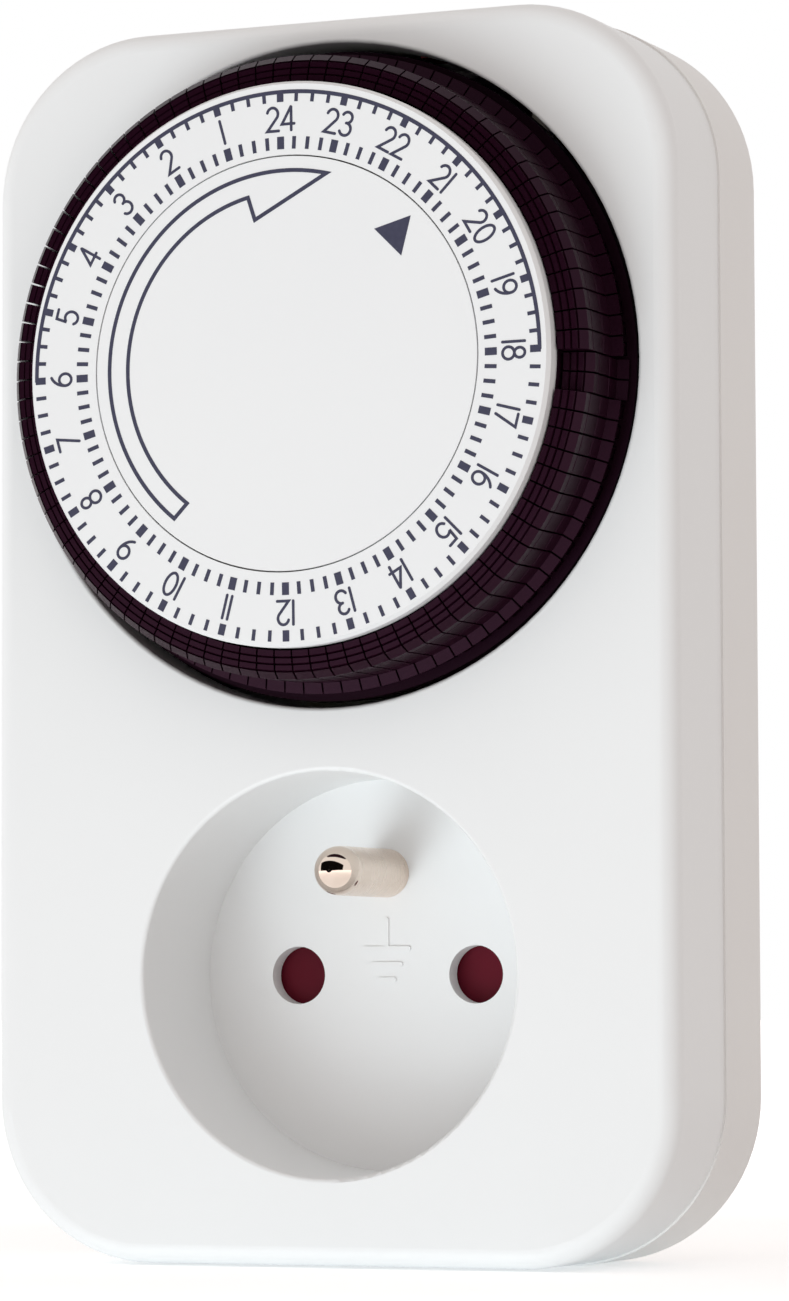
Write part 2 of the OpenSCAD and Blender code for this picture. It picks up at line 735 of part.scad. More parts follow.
module lever_pivot() color("silver") stand() at(pivot_c, plate_back_z + 0.1) {
    cylinder(r = pivot_r, h = layer_z + 0.4 - plate_back_z - 0.1);
    at([0, 0], layer_z + 0.2 - plate_back_z - 0.1) cylinder(r = pivot_r + 0.7, h = 0.5);
}

module leaf_contact() color("goldenrod") stand() at(leaf_a, leaf_top_z - leaf_w)
    rotate(leaf_dir) {
        cube([leaf_len, leaf_t, leaf_w]);
        // contact rivet
        translate([leaf_len - leaf_head, leaf_t - eps, leaf_w / 2])
            rotate([-90, 0, 0]) cylinder(r = 1.2, h = 0.6);
    }

// Bracket with its rivet, and a leg down to the switched bar
module fixed_contact() color("silver") stand() at(leaf_a, leaf_top_z - leaf_w)
    rotate(leaf_dir) {
        translate([leaf_len - leaf_head, leaf_t + 0.7, leaf_w / 2])
            rotate([-90, 0, 0]) cylinder(r = 1.2, h = 0.8);
        translate([leaf_len - leaf_head - 1.6, leaf_t + 1.4, 0])
            cube([3.2, strip_t, leaf_w]);
        translate([leaf_len - leaf_head - 1.5, leaf_t + 1.4,
            strip_z - leaf_top_z + leaf_w])
            cube([strip_w, strip_t, leaf_top_z - leaf_w - strip_z + 1]);
    }

function fixed_foot() = leaf_a + (leaf_len - leaf_head) * dir(leaf_dir)
    + (leaf_t + 1.4 + strip_t / 2) * dir(leaf_dir + 90);

// Pocket for the slider's button in the front shell's upper wall, and the
// slot for its stem
module slider_slot() {
    translate([button_x - button_w / 2 - slider_travel - free_gap,
        body_top() - pocket_d, slider_z - 2.5 - free_gap])
        cube([button_w + slider_travel + 2 * free_gap, pocket_d + 1,
            5 + 2 * free_gap]);
    translate([button_x - 2 - slider_travel - free_gap,
        body_top() - wall - 1, slider_z - 1.2 - free_gap])
        cube([4 + slider_travel + 2 * free_gap, wall + 2,
            2.4 + 2 * free_gap]);
}

// Button in the pocket on top of the housing, stem, shield and the arm whose
// end holds the lever out; drawn in the "always on" position.
module override_slider() color("firebrick") stand() {
    top = body_top() - wall - free_gap;   // top of the shield
    end = tail_c[0] - tail_r - free_gap;  // arm's end, beside the lever's tail
    translate([button_x - 2, top - 1, slider_z - 1.2])
        cube([4, wall + free_gap + 1.2 - pocket_d, 2.4]);
    difference() {
        translate([button_x - button_w / 2, body_top() - pocket_d + 0.15,
            slider_z - 2.5]) cube([button_w, pocket_d + 0.15, 5]);
        for (i = [-1 : 1]) translate([button_x + 2 * i - 0.4,
            body_top() - 0.1, slider_z - 3]) cube([0.8, 1, 6]);
    }
    translate([button_x - 6, top - 1.4, slider_z - 1.8])
        cube([9, 1.4, 3.6]);
    translate([button_x - 2, top - 2.2, layer_z - lever_t])
        cube([end - button_x + 0.4, 1, lever_t]);
    translate([end - 2.4, tail_c[1] - 1.2, layer_z - lever_t])
        cube([2.4, top - 1.9 - tail_c[1] + 1.2, lever_t]);
}

// ---------------------------------------------------------------- socket

// Two blades behind the holes, on a hub with a pocket for the spring
module shutter() color("#501830") stand() {
    at([0, 0], shutter_z - 0.6) tube(4.6, shutter_post_r + run_gap, 0.6);
    at([0, 0], shutter_z - shutter_t) linear_extrude(shutter_t) difference() {
        union() {
            for (s = [0, 180]) rotate(s) intersection() {
                circle(pin_x + hole_r + 1);
                polygon([[0, 0], 20 * dir(-21), 20 * dir(21)]);
            }
        }
        circle(3.4);
    }
    // rim round the pocket of the spring
    at([0, 0], shutter_z - shutter_t) tube(4.6, 3.4, 1.2);
}

// Torsion spring: two coils in the shutter's pocket and a leg to its peg
module shutter_spring() color("silver") stand() {
    for (i = [0, 1]) at([0, 0], shutter_z - shutter_t + 0.35 - 0.5 * i)
        rotate_extrude() translate([2.7, 0]) circle(0.3, $fn = 24);
    at([-2.7, 0], shutter_z - shutter_t - 0.35) rotate(-85)
        rotate([0, 90, 0]) cylinder(r = 0.2, h = 9.4, $fn = 24);
}

module sleeve() tube(sleeve_out_r, sleeve_in_r, sleeve_z - sleeve_end_z);

// Sprung sleeve with a slit along the side that faces away from the middle
module slit_sleeve(s) at([s * pin_x, 0], sleeve_end_z) difference() {
    sleeve();
    translate([-0.4, -5, -1]) cube([0.8, 5, 9]);
}

module live_sleeve() color("goldenrod") stand() slit_sleeve(1);
module neutral_sleeve() color("goldenrod") stand() slit_sleeve(-1);

module contact_carrier() color("lightgray") stand() {
    at([0, 0], back_z - 0.6) linear_extrude(1.8) difference() {
        circle(inner_boss_r - 0.2);
        for (x = [-pin_x, pin_x]) translate([x, 0]) circle(sleeve_out_r + 0.05);
        translate([0, earth_up]) circle(earth_tail_r + 0.1);
        translate([in_bar_x - 0.2, in_bar[1] - 0.2])
            square([strip_t + 0.4, strip_w + 0.4]);
    }
    // pillar that keeps the shutter on its post
    at([0, 0], back_z + 1.1) cylinder(r = 3.2, h = sleeve_z - back_z - 1.1);
}

module neutral_link() color("goldenrod") stand()
    at([-pin_x, 0], shoulder_z)
        cylinder(r = sleeve_out_r, h = sleeve_end_z - shoulder_z);

// Switched bar: from the front sleeve up to the fixed contact
module live_out_bar() color("goldenrod") stand() {
    start = pin_x + sleeve_out_r + 0.05;
    at([start, out_bar[1]], strip_z - strip_t)
        cube([out_bar[0] + strip_w - start, strip_w, strip_t]);
    at(out_bar, strip_z - strip_t)
        cube([strip_w, fixed_foot()[1] - out_bar[1], strip_t]);
    at([0, 0], strip_z - strip_t) linear_extrude(strip_t)
        link([out_bar[0] + strip_w / 2, fixed_foot()[1]], fixed_foot(),
            strip_w);
}

// Unswitched bar: from the plug pin's shoulder up to the leaf spring's foot
module live_in_bar() color("goldenrod") stand() {
    y = in_bar[1];
    e = in_bar_x;
    foot = leaf_a - [3.3, 0.2];
    at([pin_x + 1.4, y], shoulder_z)
        cube([e - pin_x - 1.4 + strip_t, strip_w, strip_t]);
    at([e, y], shoulder_z) cube([strip_t, strip_w, strip_z - shoulder_z]);
    at([e, y], strip_z - strip_t)
        cube([in_bar[0] + strip_w - e, strip_w, strip_t]);
    at(in_bar, strip_z - strip_t)
        cube([strip_w, foot[1] + strip_t - y, strip_t]);
    at([foot[0], foot[1] + strip_t - strip_w], strip_z - strip_t)
        cube([in_bar[0] + strip_w - foot[0], strip_w, strip_t]);
    at(foot, strip_z - strip_t)
        cube([3, strip_t, leaf_top_z - strip_z + strip_t]);
}

module front_earth_pin() color("silver") stand() at([0, earth_up]) {
    at([0, 0], floor_z) cylinder(r = earth_r, h = earth_len - earth_r);
    at([0, 0], under_z) cylinder(r = neck_r, h = floor_t);
    at([0, 0], floor_z + earth_len - earth_r) intersection() {
        sphere(earth_r);
        cylinder(r = earth_r + 1, h = earth_r + 1);
    }
    at([0, 0], under_z - 1) cylinder(r = earth_r + 1, h = 1);
    at([0, 0], strap_z) cylinder(r = earth_tail_r, h = under_z - strap_z);
}

module earth_strap() color("silver") stand() at([0, 0], strap_z - strip_t)
    linear_extrude(strip_t)
        square([clip_w - 0.8, 2 * (boss_r - clip_pocket_d)], center = true);

module rear_earth_sleeve() color("silver") stand() at([0, earth_up], end_in_z)
    difference() {
        cylinder(r = sleeve_out_r + 0.2, h = strap_z - strip_t - end_in_z);
        at([0, 0], -1) cylinder(r = sleeve_in_r + 0.1, h = 12.5);
        translate([-0.4, 0, -1]) cube([0.8, 5, 9]);
    }

// Sprung strips in the flats above and below the boss
module earth_clips() color("silver") stand() for (s = [0, 180]) rotate(s)
    translate([-clip_w / 2, boss_r - clip_pocket_d, plug_z + 1.6])
        rotate([90, 0, 90]) linear_extrude(clip_w) polygon([
            [0.05, 0], [0.05 + clip_t, 0], [1.5, 4.5], [1.5, 8],
            [0.05 + clip_t, 12], [0.05 + clip_t, boss_len - 3.8],
            [0.05, boss_len - 3.8], [0.05, 12], [1.5 - clip_t, 8],
            [1.5 - clip_t, 4.5]]);

module plug_pins() color("silver") stand() for (x = [-pin_x, pin_x]) {
    at([x, 0], plug_z - pin_len + pin_r)
        cylinder(r = pin_r, h = pin_len - pin_r);
    at([x, 0], plug_z) cylinder(r = neck_r, h = boss_end_t);
    at([x, 0], plug_z - pin_len + pin_r) intersection() {
        sphere(pin_r);
        translate([0, 0, -pin_r - 1]) cylinder(r = pin_r + 1, h = pin_r + 1);
    }
    at([x, 0], end_in_z) cylinder(r = pin_r + 0.8, h = shoulder_z - end_in_z);
}

front_housing();
rear_cover();
housing_screws();
dial_carrier();
number_ring();
centre_disc();
dial_spindle();
tappets_set();
tappets_pair();
tappets_hour(1);  // tappets_01
tappets_hour(2);  // tappets_02
tappets_hour(3);  // tappets_03
tappets_hour(4);  // tappets_04
tappets_hour(5);  // tappets_05
tappets_hour(6);  // tappets_06
tappets_hour(7);  // tappets_07
tappets_hour(8);  // tappets_08
tappets_hour(9);  // tappets_09
tappets_hour(10);  // tappets_10
tappets_hour(11);  // tappets_11
tappets_hour(12);  // tappets_12
tappets_hour(13);  // tappets_13
tappets_hour(14);  // tappets_14
tappets_hour(15);  // tappets_15
tappets_hour(16);  // tappets_16
tappets_hour(17);  // tappets_17
tappets_hour(18);  // tappets_18
tappets_hour(19);  // tappets_19
tappets_hour(20);  // tappets_20
tappets_hour(21);  // tappets_21
tappets_hour(22);  // tappets_22
tappets_hour(23);  // tappets_23
mechanism_plate();
plate_screws();
wheel_arbor();
intermediate_wheel();
clutch_pinion();
clutch_spring();
output_pinion();
motor_can();
motor_coil();
motor_rotor();
switch_lever();
lever_pivot();
leaf_contact();
fixed_contact();
override_slider();
shutter();
shutter_spring();
contact_carrier();
live_sleeve();
neutral_sleeve();
live_out_bar();
live_in_bar();
neutral_link();
front_earth_pin();
earth_strap();
rear_earth_sleeve();
earth_clips();
plug_pins();
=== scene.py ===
# %% [markdown]
# # A plug-in timer switch
#
# The part is a mechanical 24 hour timer in a white moulded housing: a turning dial with 96 black
# tappets above, a recessed socket with a standing earth pin below. Its solids come from the CAD
# model and stay as they are. This script gives each of them a material that behaves like the real
# one, prints the dial, raises the earth symbol in the socket and sets up the studio. Every length
# is in metres.

# %% Load the solids and note their box
import json
import math

import bmesh
import bpy
from mathutils import Matrix, Vector


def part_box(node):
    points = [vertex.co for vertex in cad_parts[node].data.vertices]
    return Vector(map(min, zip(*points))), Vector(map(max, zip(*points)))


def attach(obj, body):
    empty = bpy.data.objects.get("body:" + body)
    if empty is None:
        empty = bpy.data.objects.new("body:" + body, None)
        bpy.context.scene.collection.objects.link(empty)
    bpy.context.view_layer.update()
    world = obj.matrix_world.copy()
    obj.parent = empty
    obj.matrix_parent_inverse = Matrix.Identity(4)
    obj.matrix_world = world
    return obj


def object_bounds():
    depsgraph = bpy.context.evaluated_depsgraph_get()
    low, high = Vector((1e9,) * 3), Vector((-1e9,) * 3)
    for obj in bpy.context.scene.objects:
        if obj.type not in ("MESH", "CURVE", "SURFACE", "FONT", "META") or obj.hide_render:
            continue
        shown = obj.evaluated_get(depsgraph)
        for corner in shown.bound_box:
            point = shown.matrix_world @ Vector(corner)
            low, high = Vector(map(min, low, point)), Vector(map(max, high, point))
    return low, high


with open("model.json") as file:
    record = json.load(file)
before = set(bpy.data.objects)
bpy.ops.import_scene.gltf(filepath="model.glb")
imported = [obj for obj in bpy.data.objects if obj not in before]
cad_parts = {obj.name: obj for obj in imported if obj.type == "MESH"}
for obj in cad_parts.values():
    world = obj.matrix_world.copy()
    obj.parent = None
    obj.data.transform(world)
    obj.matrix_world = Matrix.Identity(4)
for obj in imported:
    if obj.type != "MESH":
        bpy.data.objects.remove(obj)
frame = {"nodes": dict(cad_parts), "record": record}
cad_low, cad_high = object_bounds()
MM = 0.001
cad_size = [round(side / MM, 1) for side in cad_high - cad_low]
print("solids", len(frame["nodes"]), "size in mm", cad_size)

# %% [markdown]
# ## Where the faces are
#
# The front points along -Y. The dial's face and the socket's floor are read from the solids, so
# that the print and the symbol sit on them whatever their exact depth is. The socket's floor is
# found from the tip of the earth pin, because the shell's box says nothing about a face inside it.

# %% Places read from the solids
disc_low, disc_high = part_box("centre_disc")
ring_low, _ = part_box("number_ring")
pin_low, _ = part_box("front_earth_pin")
housing_low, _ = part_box("front_housing")

DIAL_X = (disc_low.x + disc_high.x) / 2
DIAL_Z = (disc_low.z + disc_high.z) / 2
DIAL_FACE = ring_low.y
FRONT_FACE = housing_low.y
PIN_REACH = 14 * MM  # from the socket's floor to the earth pin's tip
SOCKET_FLOOR = pin_low.y + PIN_REACH
print("dial axis", round(DIAL_X / MM, 2), round(DIAL_Z / MM, 2))
print("dial face", round(DIAL_FACE / MM, 2), "front face", round(FRONT_FACE / MM, 2))
print("socket floor", round(SOCKET_FLOOR / MM, 2))

# %% [markdown]
# ## The camera
#
# The photograph looks from the right of the middle and a little from below. Its angles, distance
# and focal length were worked out from the ellipses of the dial and the socket, so the camera needs
# no shift. A camera could be aimed with a constraint, but its three axes say the same in numbers,
# and they also hold the small roll.

# %% Camera
PHOTO_LONG_SIDE_PX = 1301
FOCAL_PX = 5205.2
SENSOR_MM = 36
CAMERA_AZIMUTH, CAMERA_ELEVATION, CAMERA_ROLL = 23.183, -3.861, -0.201
CAMERA_DISTANCE = 498.36 * MM
CAMERA_TARGET = Vector((7.24 * MM, FRONT_FACE, 30.90 * MM))
NEAREST_SEEN, FARTHEST_SEEN = 0.01, 20


def away_from(azimuth, elevation):
    """The direction from the object to a place at that azimuth and elevation, in degrees."""
    a, e = math.radians(azimuth), math.radians(elevation)
    return Vector((math.sin(a) * math.cos(e), -math.cos(a) * math.cos(e), math.sin(e)))


camera_data = bpy.data.cameras.new("camera")
camera_data.sensor_width = SENSOR_MM
camera_data.lens = SENSOR_MM * FOCAL_PX / PHOTO_LONG_SIDE_PX
camera_data.clip_start, camera_data.clip_end = NEAREST_SEEN, FARTHEST_SEEN
camera = bpy.data.objects.new("camera", camera_data)
bpy.context.scene.collection.objects.link(camera)
back = away_from(CAMERA_AZIMUTH, CAMERA_ELEVATION)
right = Vector((0, 0, 1)).cross(back).normalized()
up = back.cross(right)
roll = math.radians(CAMERA_ROLL)
rolled_right = right * math.cos(roll) + up * math.sin(roll)
rolled_up = up * math.cos(roll) - right * math.sin(roll)
place = CAMERA_TARGET + back * CAMERA_DISTANCE
camera.matrix_world = Matrix(
    [[rolled_right[i], rolled_up[i], back[i], place[i]] for i in range(3)] + [[0, 0, 0, 1]]
)
bpy.context.scene.camera = camera
print("lens", round(camera_data.lens, 1), "mm, camera at", [round(v / MM) for v in place])

# %% [markdown]
# ## Colours and nodes
#
# Colours are written as sRGB hex values, as a paint chart gives them. Blender's shaders work in
# linear light, so one function converts them. A second one adds a node with its settings and its
# inputs, where an input is a plain value or the socket that feeds it. A node group file could
# bring ready materials, but built here step by step they can be read and changed.


# %% Helpers for every material
def paint(hex_colour):
    """Linear RGBA from an sRGB hex value such as #edeeef."""
    channels = [int(hex_colour[i : i + 2], 16) / 255 for i in (1, 3, 5)]
    return [c / 12.92 if c <= 0.04045 else ((c + 0.055) / 1.055) ** 2.4 for c in channels] + [1.0]


def add(tree, kind, inputs=None, **settings):
    """Adds one node. Its inputs are told by name or place, its properties are the settings."""
    node = tree.nodes.new(kind)
    for name, value in settings.items():
        setattr(node, name, value)
    for key, value in (inputs or {}).items():
        if isinstance(value, bpy.types.NodeSocket):
            tree.links.new(value, node.inputs[key])
        else:
            node.inputs[key].default_value = value
    return node


def new_material(name):
    """An empty node material and its tree."""
    material = bpy.data.materials.new(name)
    material.use_nodes = True
    material.node_tree.nodes.clear()
    return material, material.node_tree


# A Mix node keeps its sockets for numbers, vectors and colours side by side under the same names,
# so those for colours are told by their place.
FIRST_COLOUR, SECOND_COLOUR, MIXED_COLOUR = 6, 7, 2
# Nearly all of a noise lies between these two values.
NOISE_SPAN = {"From Min": 0.3, "From Max": 0.7}
# Full white, for whatever is its own light.
WHITE_LIGHT = (1, 1, 1, 1)
print("white paint #edeeef is", [round(c, 3) for c in paint("#edeeef")])

# %% [markdown]
# ## Moulded plastic
#
# Nearly every visible surface is injection moulded. The tool is spark eroded, which leaves a fine
# even grain: it turns a mirror into a satin sheen. The real grain is a tenth or two of a millimetre
# and is drawn a little coarser, so that the render can show it. The colour drifts a little where
# the melt flowed, over two centimetres or so. Both are noise on object coordinates, which stay put
# on the piece, where a painted texture would need an unwrapped surface.

# %% Moulded plastic
FLOW_MM = 22


def moulded_plastic(
    name,
    colour,
    drift_colour,
    grain_mm=0.28,
    relief_mm=0.006,
    roughness=(0.42, 0.56),
    ior=1.54,
    specular=0.5,
    specular_tint="#ffffff",
):
    """Plastic that drifts between two colours, with a grain that moves its roughness and relief."""
    material, tree = new_material(name)
    place = add(tree, "ShaderNodeTexCoord").outputs["Object"]
    drift = add(
        tree,
        "ShaderNodeTexNoise",
        {"Vector": place, "Scale": 1 / (FLOW_MM * MM), "Detail": 2.0, "Roughness": 0.5},
    )
    body = add(
        tree,
        "ShaderNodeMix",
        {
            "Factor": drift.outputs["Fac"],
            FIRST_COLOUR: paint(colour),
            SECOND_COLOUR: paint(drift_colour),
        },
        data_type="RGBA",
    )
    grain = add(
        tree,
        "ShaderNodeTexNoise",
        {"Vector": place, "Scale": 1 / (grain_mm * MM), "Detail": 3.0, "Roughness": 0.6},
    )
    sheen = add(
        tree,
        "ShaderNodeMapRange",
        {
            "Value": grain.outputs["Fac"],
            **NOISE_SPAN,
            "To Min": roughness[0],
            "To Max": roughness[1],
        },
    )
    relief = add(
        tree,
        "ShaderNodeBump",
        {"Height": grain.outputs["Fac"], "Strength": 0.6, "Distance": relief_mm * MM},
    )
    shader = add(
        tree,
        "ShaderNodeBsdfPrincipled",
        {
            "Base Color": body.outputs[MIXED_COLOUR],
            "Roughness": sheen.outputs["Result"],
            "Normal": relief.outputs["Normal"],
            "IOR": ior,
            "Specular IOR Level": specular,
            "Specular Tint": paint(specular_tint),
        },
    )
    add(tree, "ShaderNodeOutputMaterial", {"Surface": shader.outputs[0]})
    print(name, "grain in mm", grain_mm, "roughness", roughness)
    return material


# %% [markdown]
# ### White plastics
#
# The shell, the rear cover and the dial are white ABS from three tools. One shared white would make
# the part look like a single lump, so small differences in warmth and grain tell them apart.

# %% White plastics
# ABS of the front shell: cool white with a satin, slightly grained skin.
WHITE_SHELL = moulded_plastic("white_moulded_abs", "#f0f1f1", "#edeeee")
# The rear cover comes from another tool and another batch: a touch warmer and duller.
WHITE_COVER = moulded_plastic(
    "white_moulded_abs_rear", "#edecea", "#e9e7e5", roughness=(0.48, 0.6)
)
# The dial's face is smoother, because ink needs a fine surface.
DIAL_FACE_WHITE = moulded_plastic(
    "smooth_white_abs_dial",
    "#f1f2f2",
    "#eeeff0",
    grain_mm=0.4,
    relief_mm=0.002,
    roughness=(0.34, 0.42),
)

# %% [markdown]
# ### Dark and coloured plastics
#
# The dial's tappets and carrier are black acetal. In the photograph their black has a plum cast,
# also where they shine, so both the body and the weak reflection are tinted. The shutter shows only
# as two dark red discs behind the holes. The rest are the slider and plastics of the works inside.
# One function makes them all, because they differ in colour and sheen, not in how they are made.

# %% Dark and coloured plastics
BLACK_ACETAL = {"grain_mm": 0.3, "ior": 1.48, "specular": 0.2, "specular_tint": "#dca8ca"}
# Tappets: rubbed by fingers, so edges and ribs catch a soft light.
TAPPET_BLACK = moulded_plastic(
    "black_acetal_tappets", "#19040f", "#200716", roughness=(0.28, 0.38), **BLACK_ACETAL
)
# Carrier: never touched, so it is duller and looks deeper.
CARRIER_BLACK = moulded_plastic(
    "black_acetal_carrier", "#14030d", "#1a0511", roughness=(0.42, 0.55), **BLACK_ACETAL
)
# Shutter: dark red acetal with hardly a sheen, since little light comes through the holes.
SHUTTER_RED = moulded_plastic(
    "dark_red_acetal_shutter", "#540b1c", "#681225", roughness=(0.35, 0.45), specular=0.1
)
# Slider: signal red ABS, satin like the shell.
SLIDER_RED = moulded_plastic("red_abs_slider", "#8e1c22", "#82181f", roughness=(0.38, 0.5))
# Gear wheel and switch lever: acetal without pigment, milky and a little waxy.
NATURAL_ACETAL = moulded_plastic(
    "natural_acetal_gears", "#e4e0d4", "#dbd6c8", grain_mm=0.5, roughness=(0.4, 0.5)
)
# Contact carrier: grey polyamide, dull all over.
GREY_CARRIER = moulded_plastic(
    "grey_polyamide_carrier", "#b4b4b2", "#a9a9a8", roughness=(0.5, 0.62)
)
# Plate that carries the works: glass-filled nylon, near black, with a dull skin of short fibres.
PLATE_BLACK = moulded_plastic(
    "black_filled_nylon_plate",
    "#17121a",
    "#241d26",
    grain_mm=0.7,
    roughness=(0.5, 0.7),
    specular=0.3,
)

# %% [markdown]
# ## Metal
#
# The strips are rolled, which leaves fine lines along one way, about a tenth of a millimetre wide.
# An anisotropic shader could streak the shine, but a noise that is stretched that way also shows
# the lines themselves, in roughness and relief. A second, larger noise clouds the colour, as
# handling does. All metals keep the default index of refraction, and their colour is their
# reflection.

# %% Metals
CLOUD_MM = 6


def metal(name, colour, tarnish, roughness, marks_mm=0.12, marks_along=(1, 1, 1)):
    """Metal with machining marks: marks_along is small along the way in which the marks run."""
    material, tree = new_material(name)
    place = add(tree, "ShaderNodeTexCoord").outputs["Object"]
    stretched = add(tree, "ShaderNodeMapping", {"Vector": place, "Scale": marks_along})
    marks = add(
        tree,
        "ShaderNodeTexNoise",
        {
            "Vector": stretched.outputs["Vector"],
            "Scale": 1 / (marks_mm * MM),
            "Detail": 3.0,
            "Roughness": 0.55,
        },
    )
    cloud = add(
        tree, "ShaderNodeTexNoise", {"Vector": place, "Scale": 1 / (CLOUD_MM * MM), "Detail": 3.0}
    )
    tint = add(
        tree,
        "ShaderNodeMix",
        {
            "Factor": cloud.outputs["Fac"],
            FIRST_COLOUR: paint(colour),
            SECOND_COLOUR: paint(tarnish),
        },
        data_type="RGBA",
    )
    polish = add(
        tree,
        "ShaderNodeMapRange",
        {
            "Value": marks.outputs["Fac"],
            **NOISE_SPAN,
            "To Min": roughness[0],
            "To Max": roughness[1],
        },
    )
    relief = add(
        tree,
        "ShaderNodeBump",
        {"Height": marks.outputs["Fac"], "Strength": 0.5, "Distance": 0.003 * MM},
    )
    shader = add(
        tree,
        "ShaderNodeBsdfPrincipled",
        {
            "Base Color": tint.outputs[MIXED_COLOUR],
            "Metallic": 1.0,
            "Roughness": polish.outputs["Result"],
            "Normal": relief.outputs["Normal"],
        },
    )
    add(tree, "ShaderNodeOutputMaterial", {"Surface": shader.outputs[0]})
    print(name, "marks in mm", marks_mm, "roughness", roughness)
    return material


# Screws, spindles, coil springs and the motor's can: steel, zinc plated, cool and faintly cloudy.
ZINC_STEEL = metal("zinc_plated_steel", "#a9acb0", "#9a9c9f", (0.25, 0.42))
# Current bars, earth strap and pinions: brass, warm yellow with lines along Z.
BRASS = metal("rolled_brass_strip", "#c9a35a", "#b58c48", (0.25, 0.4), marks_along=(1, 1, 0.08))
# Contact sleeves and leaf contact: spring bronze, redder than brass.
BRONZE = metal(
    "spring_bronze_strip", "#b98455", "#a57046", (0.25, 0.42), marks_along=(1, 1, 0.08)
)
# Rotor: sintered magnet, dark and coarse, with hardly a shine.
MAGNET = metal("sintered_magnet", "#5a5a5e", "#48484c", (0.45, 0.65), marks_mm=0.5)
# Earth clips at the plug's sides: nickel-plated strip, pale and bright, with lines along Y.
CLIP_NICKEL = metal(
    "nickel_plated_strip", "#d2ccc2", "#c6beb2", (0.2, 0.34), marks_along=(1, 0.1, 1)
)

# %% [markdown]
# ### Nickel-plated pins
#
# The pins are brass, turned and nickel plated. They need two finishes in one: satin where the
# turning tool went round the shaft, bright on the rounded tip. Two materials would meet in a hard
# line on the mesh, so the place along the pin's axis, which is Y, decides which finish shows.

# %% Nickel-plated pins
TIP_LENGTH = 2.4 * MM
FINISH_BLEND = 0.4 * MM
TURNING_MM = 0.16
PIN_CLOUD_MM = 5
TIP_ROUGHNESS = 0.05
SHAFT_ROUGHNESS = (0.24, 0.36)


def nickel_pin(name, tip_starts, tip_sign):
    """tip_starts is the Y where the rounding begins, tip_sign the way the tip points along Y."""
    material, tree = new_material(name)
    place = add(tree, "ShaderNodeTexCoord").outputs["Object"]
    along = add(tree, "ShaderNodeSeparateXYZ", {"Vector": place}).outputs["Y"]
    shaft = add(
        tree,
        "ShaderNodeMapRange",
        {
            "Value": along,
            "From Min": tip_starts - tip_sign * FINISH_BLEND,
            "From Max": tip_starts + tip_sign * FINISH_BLEND,
            "To Min": 1.0,
            "To Max": 0.0,
        },
    )
    # Turning marks run round the shaft, so they change quickly along Y only.
    squeezed = add(tree, "ShaderNodeMapping", {"Vector": place, "Scale": (0.05, 1.0, 0.05)})
    marks = add(
        tree,
        "ShaderNodeTexNoise",
        {
            "Vector": squeezed.outputs["Vector"],
            "Scale": 1 / (TURNING_MM * MM),
            "Detail": 2.0,
        },
    )
    satin = add(
        tree,
        "ShaderNodeMapRange",
        {
            "Value": marks.outputs["Fac"],
            **NOISE_SPAN,
            "To Min": SHAFT_ROUGHNESS[0],
            "To Max": SHAFT_ROUGHNESS[1],
        },
    )
    polish = add(
        tree,
        "ShaderNodeMix",
        {
            "Factor": shaft.outputs["Result"],
            "A": TIP_ROUGHNESS,
            "B": satin.outputs["Result"],
        },
    )
    cloud = add(
        tree,
        "ShaderNodeTexNoise",
        {"Vector": place, "Scale": 1 / (PIN_CLOUD_MM * MM), "Detail": 2.0},
    )
    tint = add(
        tree,
        "ShaderNodeMix",
        {
            "Factor": cloud.outputs["Fac"],
            FIRST_COLOUR: paint("#ebdcd0"),
            SECOND_COLOUR: paint("#dccbbc"),
        },
        data_type="RGBA",
    )
    # The relief fades to nothing at the tip, as the shaft's share does.
    depth = add(tree, "ShaderNodeMath", {0: shaft.outputs["Result"], 1: 0.5}, operation="MULTIPLY")
    relief = add(
        tree,
        "ShaderNodeBump",
        {
            "Height": marks.outputs["Fac"],
            "Strength": depth.outputs[0],
            "Distance": 0.004 * MM,
        },
    )
    shader = add(
        tree,
        "ShaderNodeBsdfPrincipled",
        {
            "Base Color": tint.outputs[MIXED_COLOUR],
            "Metallic": 1.0,
            "Roughness": polish.outputs[0],
            "Normal": relief.outputs["Normal"],
        },
    )
    add(tree, "ShaderNodeOutputMaterial", {"Surface": shader.outputs[0]})
    print(name, "tip from", round(tip_starts / MM, 2), "mm along Y")
    return material


EARTH_PIN_NICKEL = nickel_pin("nickel_plated_earth_pin", pin_low.y + TIP_LENGTH, -1)
PLUG_PIN_NICKEL = nickel_pin("nickel_plated_plug_pins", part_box("plug_pins")[1].y - TIP_LENGTH, 1)
